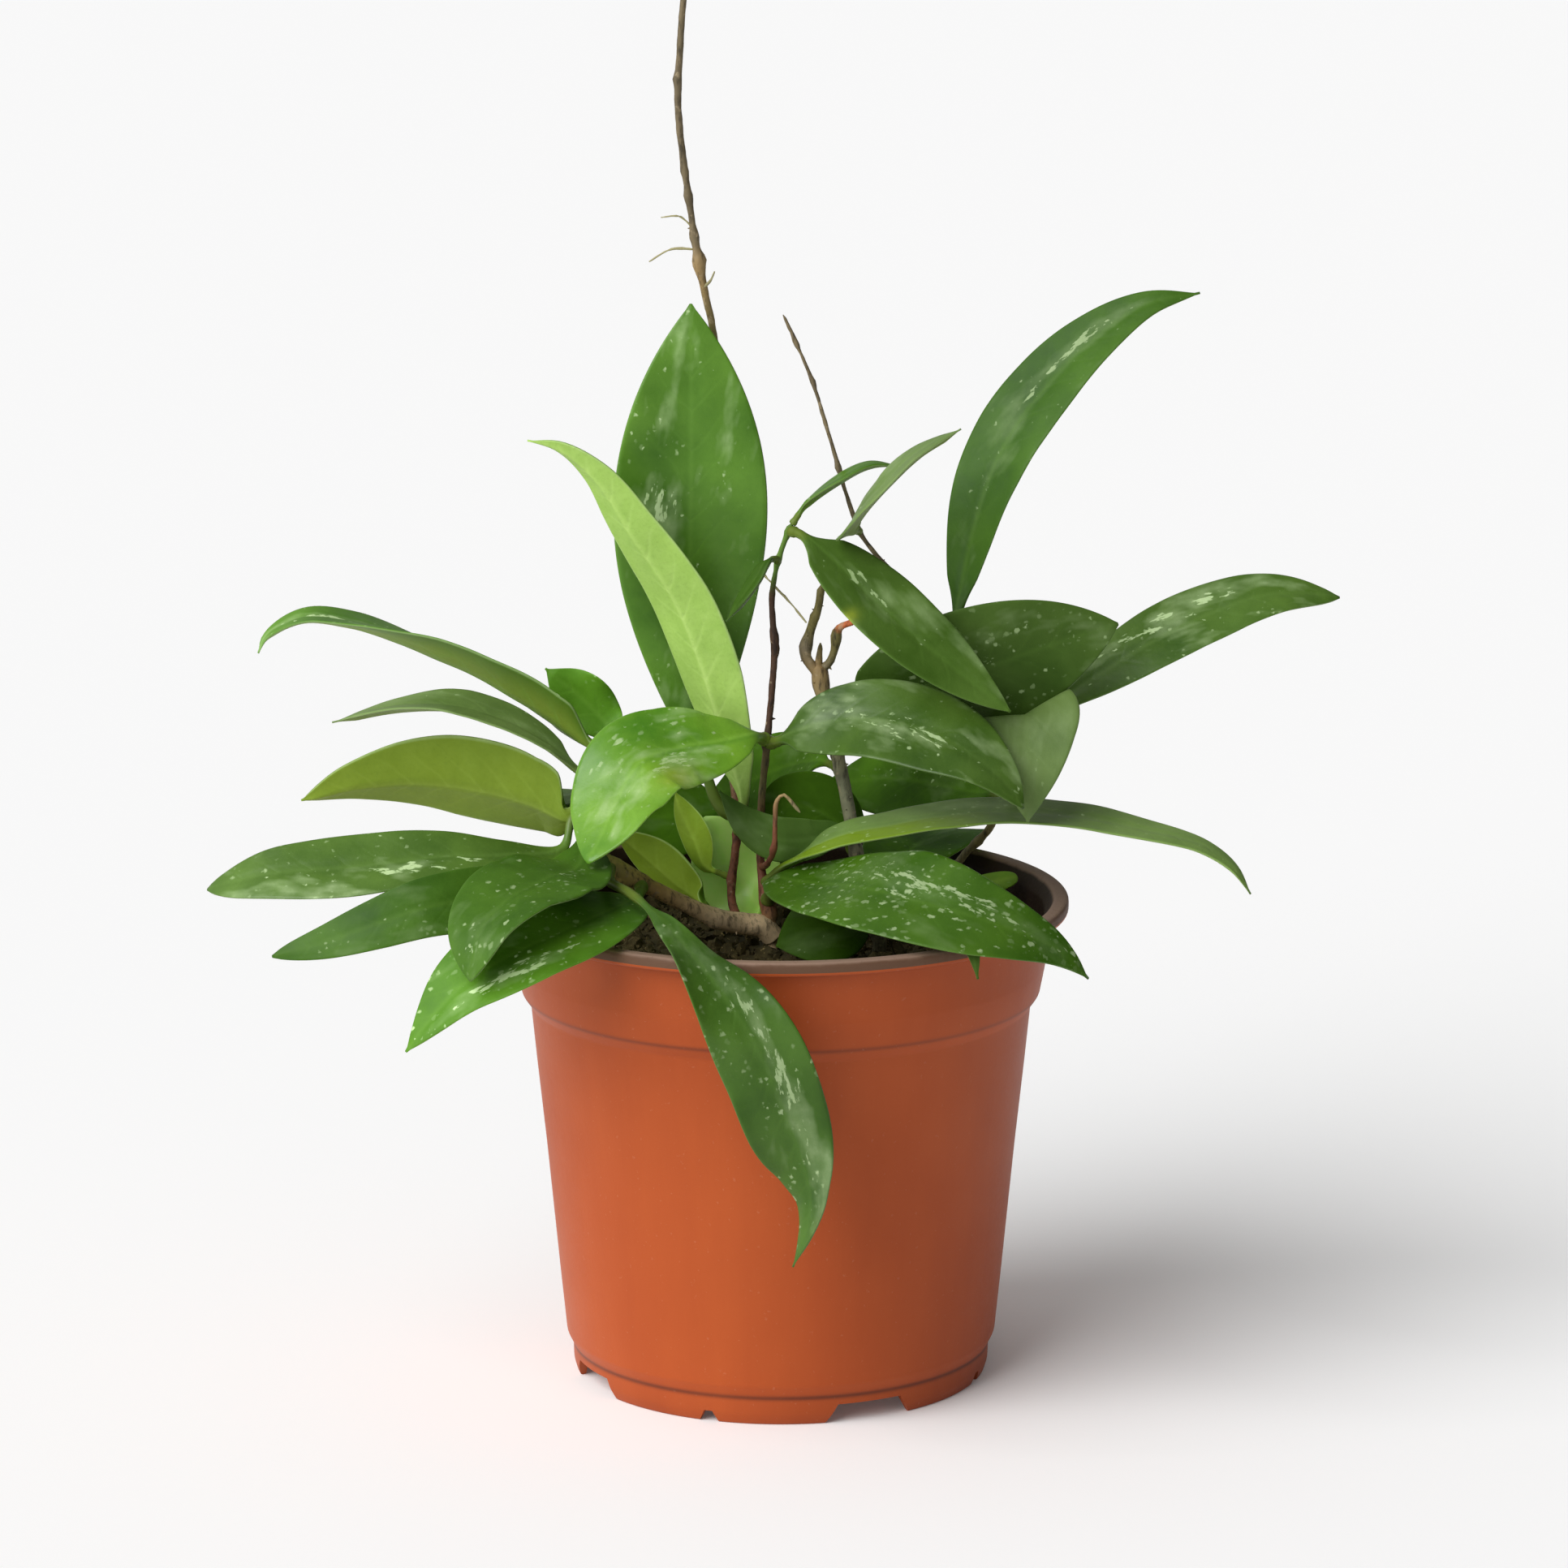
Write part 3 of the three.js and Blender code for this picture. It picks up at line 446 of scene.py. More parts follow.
soil = {
    "top": 81.0, "radius": 48.2, "rings": 26, "sides": 96, "roll": 1.1, "bottom": 5.7, "footInside": 37.4,
    "wallGap": 0.4, "crumbs": {"Density": 330000.0, "Size": 0.00085, "Roundness": 1, "Seed": 5},
    "chips": {"Density": 26000.0, "Size": 0.0019, "Roundness": 2, "Seed": 6}, "roughening": 0.3,
    "dark": rgb(50, 44, 20), "brown": rgb(92, 80, 42), "pale": rgb(160, 140, 92),
    "coarse": (160.0, 4.0, 0.65), "fine": (1100.0, 3.0, 0.7), "ruggedness": (900.0, 2.0, 0.5), "sharpFrom": 60,
}


def soilBed():
    top, wide, rings = soil["top"], soil["radius"], soil["rings"]
    inward = pot["wall"] + soil["wallGap"]
    profile = [(0, soil["bottom"], 0), (soil["footInside"], soil["bottom"], 0)]
    profile += [(radius - inward, height, 0) for radius, height in wallAboveFoot if height < top - 2]
    profile += [(wide, top - 1.0, 0)]
    profile += [(wide * (1 - ring / rings) ** 0.9, top, 0) for ring in range(rings)] + [(0, top, 0)]
    mesh = turned(profile, soil["sides"])
    for vertex in mesh.vertices:
        if vertex.co.z > (top - 0.5) * mm:
            x, y = vertex.co.x / mm, vertex.co.y / mm  # the surface rolls gently
            roll = math.sin(x * 0.23 + 1.3) * math.cos(y * 0.19) + 0.5 * math.sin(x * 0.51 - y * 0.43)
            vertex.co.z += (roll - 1.2) * soil["roll"] * 0.5 * mm
    smoothed(mesh, soil["sharpFrom"])
    mesh.materials.append(soilFinish())
    return placed("soilBed", mesh)


def soilFinish():
    material, maker = newMaterial("soilMix")
    coarse, fine = (maker.noise(maker.place(), *soil[key]) for key in ("coarse", "fine"))
    base = maker.layered(soil["dark"], ((coarse * 1.8 - 0.5).clamped(), soil["brown"]),
                         (fine.past(0.62, 0.05) * 0.7, soil["pale"]))
    surface(maker, {"IOR": 1.4}, Base_Color=base, Roughness=fine * 0.2 + 0.78,
            Normal=maker.bumped(coarse + fine * 0.5, 0.6, 0.0006))
    return material


def crumbTree():  # strews rough crumbs over what faces up
    tree, maker, given = newTree("soilCrumbs", {
        **soil["crumbs"], "Roughening": soil["roughening"], "Material": None})
    facing = maker.parts(maker.out("GeometryNodeInputNormal"))[2].over(0.8)
    points = maker.out("GeometryNodeDistributePointsOnFaces", {
        "Mesh": given["Geometry"], "Selection": facing, "Density": given["Density"], "Seed": given["Seed"]})
    crumb = maker.out("GeometryNodeMeshIcoSphere", {
        "Radius": given["Size"], "Subdivisions": given["Roundness"]})

    def random(least, most):
        return maker.out("FunctionNodeRandomValue", {0: least, 1: most, "Seed": given["Seed"]},
                         data_type="FLOAT_VECTOR")

    strewn = maker.out("GeometryNodeInstanceOnPoints", {
        "Points": points, "Instance": crumb, "Rotation": random((0.0, 0.0, 0.0), (6.28, 6.28, 6.28)),
        "Scale": random((0.5, 0.5, 0.35), (1.5, 1.2, 0.95))})
    real = maker.out("GeometryNodeRealizeInstances", {0: strewn})
    swirl = maker.noise(maker.out("GeometryNodeInputPosition"), *soil["ruggedness"], "Color")
    offset = maker.scaled(maker.vectors("SUBTRACT", swirl, (0.5, 0.5, 0.5)),
                          given["Size"] * given["Roughening"] * 4.0)
    rugged = maker.out("GeometryNodeSetPosition", {"Geometry": real, "Offset": offset})
    closeTree(maker, rugged, given["Material"])
    return tree


# The plant's lines

eye = np.array(camera["place"])


def seen(point):  # how far right and how high it appears from the front, and how far back it is
    right, up, depth = point
    return eye + (np.array([right, 0.0, up]) - eye) * (1 + depth / -eye[1])


class Line:  # a smooth line through points, measured along its length
    def __init__(self, points):
        self.points = [np.array(point, float) for point in points]
        self.shares = np.linspace(0, 1, 201)
        steps = np.diff([self.spot(share) for share in self.shares], axis=0)
        self.lengths = np.concatenate([[0.0], np.cumsum(np.linalg.norm(steps, axis=1))])
        self.length = self.lengths[-1]

    def spot(self, share):
        points = self.points
        whole = share * (len(points) - 1)
        index = min(int(whole), len(points) - 2)
        near, far = points[index], points[index + 1]
        before = points[index - 1] if index else 2 * near - far
        after = points[index + 2] if index + 2 < len(points) else 2 * far - near
        a, b, c = (max(np.linalg.norm(end - start), 1e-4) ** 0.5
                   for start, end in ((before, near), (near, far), (far, after)))
        leave = b * ((near - before) / a - (far - before) / (a + b) + (far - near) / b)
        arrive = b * ((far - near) / b - (after - near) / (b + c) + (after - far) / c)
        t = whole - index
        square, cube = 3 * (far - near) - 2 * leave - arrive, 2 * (near - far) + leave + arrive
        return near + leave * t + square * t ** 2 + cube * t ** 3

    def inner(self, share):
        return float(np.interp(min(max(share, 0.0), 1.0) * self.length, self.lengths, self.shares))

    def at(self, share):
        return self.spot(self.inner(share))

    def along(self, share):
        t = self.inner(share)
        return unit(self.spot(min(1.0, t + 1e-4)) - self.spot(max(0.0, t - 1e-4)))


def fill(mesh, name, values):  # gives each point of a mesh a number, or a row of three
    rows = np.array(values, np.float32)
    kind, key = ("FLOAT_VECTOR", "vector") if rows.ndim > 1 else ("FLOAT", "value")
    mesh.attributes.new(name, kind, "POINT").data.foreach_set(key, rows.ravel())


# Stems

# The branches: thickness at both ends, how early it changes, whether it stands in the soil, and its points.
# Then the tones along it, by how far along they lie, and its knots: how high, how much thicker, how long.
# All points are given as they are seen from the front: how far right, how high, and how far back.
branches = {
    "left": {
        "radius": (2.2, 1.4), "taper": 0.5, "rooted": False,
        "points": ((-1.6, 83.8, 0), (-3.4, 85.6, -0.8), (-7, 86.2, -2), (-12, 87.2, -5), (-20, 91, -9),
                   (-29, 95.6, -13), (-34.6, 99.6, -14), (-36, 106, -11), (-34.6, 113, -7), (-32, 119, -3),
                   (-30, 124, 0)),
        "tones": ((0, "paleTan"), (0.2, "paleTan"), (0.4, "ochre"), (0.65, "moss"), (0.9, "tan")),
        "knots": ((86.4, 0.4, 3), (99, 0.5, 2.2)),
    },
    "vine": {
        "radius": (2.4, 0.55), "taper": 0.22, "rooted": True,
        "points": ((-1.5, 81, 0), (-2.2, 88, 0), (-3.8, 98, 2), (-3.6, 110, 3), (-2.2, 125, 3),
                   (-1.2, 139, 2), (-1.6, 150, 1), (0.2, 158, 0), (2.2, 162.8, -1)),
        "tones": ((0.2, "paleTan"), (0.25, "tan"), (0.3, "rust"), (0.42, "rust"), (0.5, "olive"),
                  (0.62, "darkBark"), (0.86, "darkBark"), (0.9, "green")),
        "knots": ((90, 0.6, 3), (141, 0.3, 1.6)),
    },
    "tall": {
        "radius": (1, 0.85), "taper": 0.5, "rooted": False, "slim": (0.86, 0.72),
        "points": ((-7.5, 86, -2), (-9.3, 91, 4), (-8.2, 105, 9), (-9, 116, 14), (-9.6, 133, 18),
                   (-10, 160, 20), (-10.6, 180, 19), (-12.2, 197, 17), (-15, 211, 15), (-17, 224, 15),
                   (-18.8, 240, 15), (-18.4, 252, 15), (-17.2, 266, 15), (-16.6, 272, 15)),
        "tones": ((0, "rust"), (0.12, "rust"), (0.2, "tan"), (0.6, "olive"), (0.67, "tan"),
                  (0.7, "driedBrown"), (1, "driedBrown")),
        "knots": ((209.5, 0.55, 2), (214.5, 0.3, 1.2), (222, 0.25, 1)),
    },
    "stub": {
        "radius": (0.9, 0.4), "taper": 0.5, "rooted": False,
        "points": ((-3.4, 97.2, 1.4), (-2.4, 98, -5.4), (-1.2, 101, -8.6), (-1.1, 106, -9.4),
                   (-0.8, 109.7, -9.6), (0.4, 111.1, -9.6), (3.6, 107.7, -9.4)),
        "tones": ((0, "rust"), (0.6, "rust"), (0.8, "tan"), (1, "pale")),
        "knots": (),
    },
    "right": {
        "radius": (1.7, 1.35), "taper": 0.5, "rooted": True,
        "points": ((18.5, 81, 0), (17, 86, 1), (14.6, 98, 3), (12.8, 108, 4), (10.4, 120, 5), (8, 130, 5),
                   (7, 136.4, 5)),
        "tones": ((0, "greyBrown"), (0.7, "grey"), (1, "tan")),
        "knots": ((132, 0.5, 3),),
    },
    "knob": {
        "radius": (1.3, 0.8), "taper": 0.5, "rooted": False,
        "points": ((6.8, 134.5, 5), (4.6, 138, 5), (5.4, 142, 5), (6.8, 146.2, 4), (7.6, 151, 3)),
        "tones": ((0, "tan"), (0.3, "greyBrown"), (0.5, "olive"), (1, "olive")),
        "knots": ((138.5, 0.4, 1.6),),
    },
    "bud": {
        "radius": (1.1, 0.5), "taper": 0.5, "rooted": False,
        "points": ((7, 135.5, 5), (7.2, 138, 5), (7.4, 140.2, 4.6)),
        "tones": ((0, "tan"), (1, "olive")),
        "knots": (),
    },
    "fork": {
        "radius": (1.1, 0.6), "taper": 0.5, "rooted": False,
        "points": ((7.4, 135, 5), (9.2, 136.6, 4.6), (10.1, 139.6, 4.2), (10.8, 142.8, 3.6), (14, 144.4, 2)),
        "tones": ((0, "greyBrown"), (0.3, "olive"), (0.68, "olive"), (0.74, "orange"), (1, "orange")),
        "knots": ((140.5, 0.5, 1.6),),
    },
    "farRight": {
        "radius": (1.4, 0.6), "taper": 0.5, "rooted": True, "slim": (0.84, 0.5),
        "points": ((24, 83.2, 9), (28, 91, 9), (34.5, 99.5, 8), (39.4, 105, 6), (43, 114, 4), (43.4, 123, 3),
                   (38.5, 131, 2), (32.6, 139, 1), (25, 149, 1), (15.4, 160, 2), (12.6, 167, 2),
                   (9.4, 178, 2), (6, 189, 2), (3, 196.4, 2), (0.4, 202, 2)),
        "tones": ((0, "grey"), (0.3, "olive"), (0.65, "driedBrown"), (1, "driedBrown")),
        "knots": ((196.4, 0.16, 0.8),),
    },
}

aerialRoots = (
    ("tall", ((-16.2, 218.2, 15), (-18.7, 220.2, 14.4), (-22.1, 220, 14))),
    ("tall", ((-15.5, 214.1, 15), (-20.2, 214.1, 14.4), (-24.3, 211.8, 14))),
    ("tall", ((-14.4, 207, 15), (-13, 208.2, 14.8), (-12.2, 210, 14.6))),
    ("vine", ((-3.6, 153.6, 2), (-1.2, 151, 1), (1.4, 148.2, 0), (4.8, 144, -1))),
)


stem = {
    "uprightRise": 2.0, "buried": 22.0, "step": 0.9, "sides": 14, "nodeEvery": 17.0, "nodeFirst": 0.7,
    "nodeGap": 6.0, "nodeSwell": 0.22, "nodeLength": 1.0, "nodeSide": 0.175, "slim": (0.88, 0.88),
    "tipRound": (0.35, 1.2), "relief": 0.0003, "nubs": 14000.0, "nubSize": 0.00045,
    "rootRadius": 0.32, "rootThins": (0.75, 0.4), "rootSteps": 14,
    "reliefGrain": (700.0, 3.0, 0.6), "grain": (1100.0, 4.0, 0.65), "patches": (170.0, 3.0, 0.6),
    "scars": (480.0, 3.0, 0.6), "scar": rgb(168, 150, 118), "firstSeed": 20,
}

barkTones = {
    "darkBark": rgb(66, 44, 30), "rust": rgb(122, 74, 52), "tan": rgb(136, 112, 72),
    "paleTan": rgb(196, 172, 134), "olive": rgb(100, 92, 50), "greyBrown": rgb(116, 104, 80),
    "grey": rgb(120, 122, 94), "green": rgb(76, 106, 32), "orange": rgb(200, 106, 58),
    "pale": rgb(142, 136, 98), "driedBrown": rgb(100, 88, 64), "ochre": rgb(170, 140, 86),
    "moss": rgb(136, 134, 66),
}


def branchLine(branch):
    points = [seen(point) for point in branch["points"]]
    if branch["rooted"]:
        x, y, _ = points[0]
        points[:1] = [np.array([x, y, soil["top"] + rise])
                      for rise in (-stem["buried"], -stem["uprightRise"], stem["uprightRise"])]
    return Line(points)


branchLines = {name: branchLine(branch) for name, branch in branches.items()}


def radiusAt(branch, share):
    start, end = branch["radius"]
    return start + (end - start) * share ** branch["taper"]


def joinAt(name, height):  # where a leaf's stalk leaves its branch
    line = branchLines[name]
    heights = [abs(line.at(i / 400)[2] - height) for i in range(401)]
    share = int(np.argmin(heights)) / 400
    return {"point": line.at(share), "along": line.along(share), "share": share,
            "radius": radiusAt(branches[name], share), "atEnd": share > 0.995}


def threadMesh(strands):  # lines of points with a thickness, a tone and a roughness of bark
    mesh = bpy.data.meshes.new("threads")
    rows, edges = [], []
    for strand in strands:
        edges += [(i, i + 1) for i in range(len(rows), len(rows) + len(strand) - 1)]
        rows += strand
    points, thicknesses, tones, woody = zip(*rows)
    mesh.from_pydata([tuple(point * mm) for point in points], edges, [])
    fill(mesh, "thickness", [thickness * mm for thickness in thicknesses])
    fill(mesh, "woody", woody)
    fill(mesh, "tone", tones)
    return mesh


def strandOf(name):  # swells where leaves grow, and at even distances between them
    branch, line = branches[name], branchLines[name]
    spots, toneNames = zip(*branch["tones"])
    tones = np.array([barkTones[tone][:3] for tone in toneNames])
    swells = [joins[key]["share"] * line.length for key, leaf in leaves.items() if leaf["on"] == name]
    every, gap = stem["nodeEvery"], stem["nodeGap"]
    swells += [at for at in np.arange(every * stem["nodeFirst"], line.length - gap, every)
               if all(abs(at - other) > gap for other in swells)]
    first, last = branch.get("slim", stem["slim"])
    blunt, tipLength = stem["tipRound"]
    steps = max(8, int(line.length / stem["step"]))
    strand = []
    for i in range(steps + 1):
        share = i / steps
        spot = line.at(share)
        swell = min(1.0, sum(math.exp(-((share * line.length - at) / stem["nodeLength"]) ** 2)
                             for at in swells))
        knot = sum(extra * math.exp(-((spot[2] - height) / length) ** 2)
                   for height, extra, length in branch["knots"])
        rounding = min(1.0, blunt + (1 - share) * line.length / tipLength)
        slim = radiusAt(branch, share) * (first + (last - first) * share)
        tone = [float(np.interp(share, spots, tones[:, channel])) for channel in range(3)]
        woody = 0.0 if name == "vine" and share > spots[-2] else 1.0
        side = np.array([math.sin(i * 0.11 + len(name)), 0.3, math.cos(i * 0.13)])  # another way at each
        strand.append((spot + side * stem["nodeSide"] * swell,
                       (slim + stem["nodeSwell"] * swell + knot) * rounding, tone, woody))
    return strand


def rootStrand(points):
    line, steps = Line([seen(point) for point in points]), stem["rootSteps"]
    start, end = stem["rootThins"]
    return [(line.at(i / steps), stem["rootRadius"] * (start + (end - start) * i / steps),
             barkTones["pale"][:3], 0.0) for i in range(steps + 1)]


def stemTree():  # a skin round the lines, with uneven bark and small nubs
    tree, maker, given = newTree("stemSkin", {
        "Sides": stem["sides"], "Bark Relief": stem["relief"], "Nub Density": stem["nubs"],
        "Nub Size": stem["nubSize"], "Seed": stem["firstSeed"], "Material": None})
    line = maker.out("GeometryNodeMeshToCurve", {0: given["Geometry"]})
    ring = maker.out("GeometryNodeCurvePrimitiveCircle", {"Resolution": given["Sides"], "Radius": 1.0})
    skin = maker.out("GeometryNodeCurveToMesh", {
        "Curve": line, "Profile Curve": ring, "Fill Caps": True, "Scale": maker.remembered("thickness")})
    stretched = maker.vectors("MULTIPLY", maker.out("GeometryNodeInputPosition"), (1.0, 1.0, 0.35))
    relief = (maker.noise(stretched, *stem["reliefGrain"]) - 0.5) * given["Bark Relief"] * 2.0
    rough = maker.out("GeometryNodeSetPosition", {
        "Geometry": skin, "Offset": maker.scaled(maker.out("GeometryNodeInputNormal"), relief)})
    smooth = maker.out("GeometryNodeSetShadeSmooth", {0: rough})
    spots = maker.node("GeometryNodeDistributePointsOnFaces", {
        "Mesh": smooth, "Density": given["Nub Density"], "Seed": given["Seed"],
        "Selection": maker.remembered("woody").over(0.5)})
    nub = maker.out("GeometryNodeMeshCone", {
        "Vertices": 5, "Radius Top": 0.12, "Radius Bottom": 0.55, "Depth": 1.1})
    size = maker.out("FunctionNodeRandomValue", {2: 0.5, 3: 1.3, "Seed": given["Seed"]}, 1, data_type="FLOAT")
    size = size * given["Nub Size"]
    nubs = maker.out("GeometryNodeInstanceOnPoints", {
        "Points": maker.wire(spots, "Points"), "Rotation": maker.wire(spots, "Rotation"), "Instance": nub,
        "Scale": maker.joined(size, size, size)})
    both = maker.node("GeometryNodeJoinGeometry")
    for part in (nubs, smooth):
        maker.tree.links.new(part.socket, both.inputs[0])
    closeTree(maker, maker.wire(both), given["Material"])
    return tree


def barkFinish():
    material, maker = newMaterial("bark")
    place = maker.place()
    tone, woody = maker.read("tone", "Vector"), maker.read("woody")
    grain = maker.noise(maker.vectors("MULTIPLY", place, (1.0, 1.0, 0.3)), *stem["grain"])
    patches, scars = (maker.noise(place, *stem[key]) for key in ("patches", "scars"))
    base = maker.layered(
        maker.scaled(tone, 1.2 + (patches - 0.5) * 1.8),
        (((grain - 0.5) * 6.0).clamped() * woody, maker.scaled(tone, 0.4)),
        (((scars - 0.6) * 12.0).clamped() * woody * 0.6, stem["scar"]))
    surface(maker, {"IOR": 1.42}, Base_Color=base, Roughness=grain * 0.25 + 0.5,
            Normal=maker.bumped(grain, 0.5))
    return material
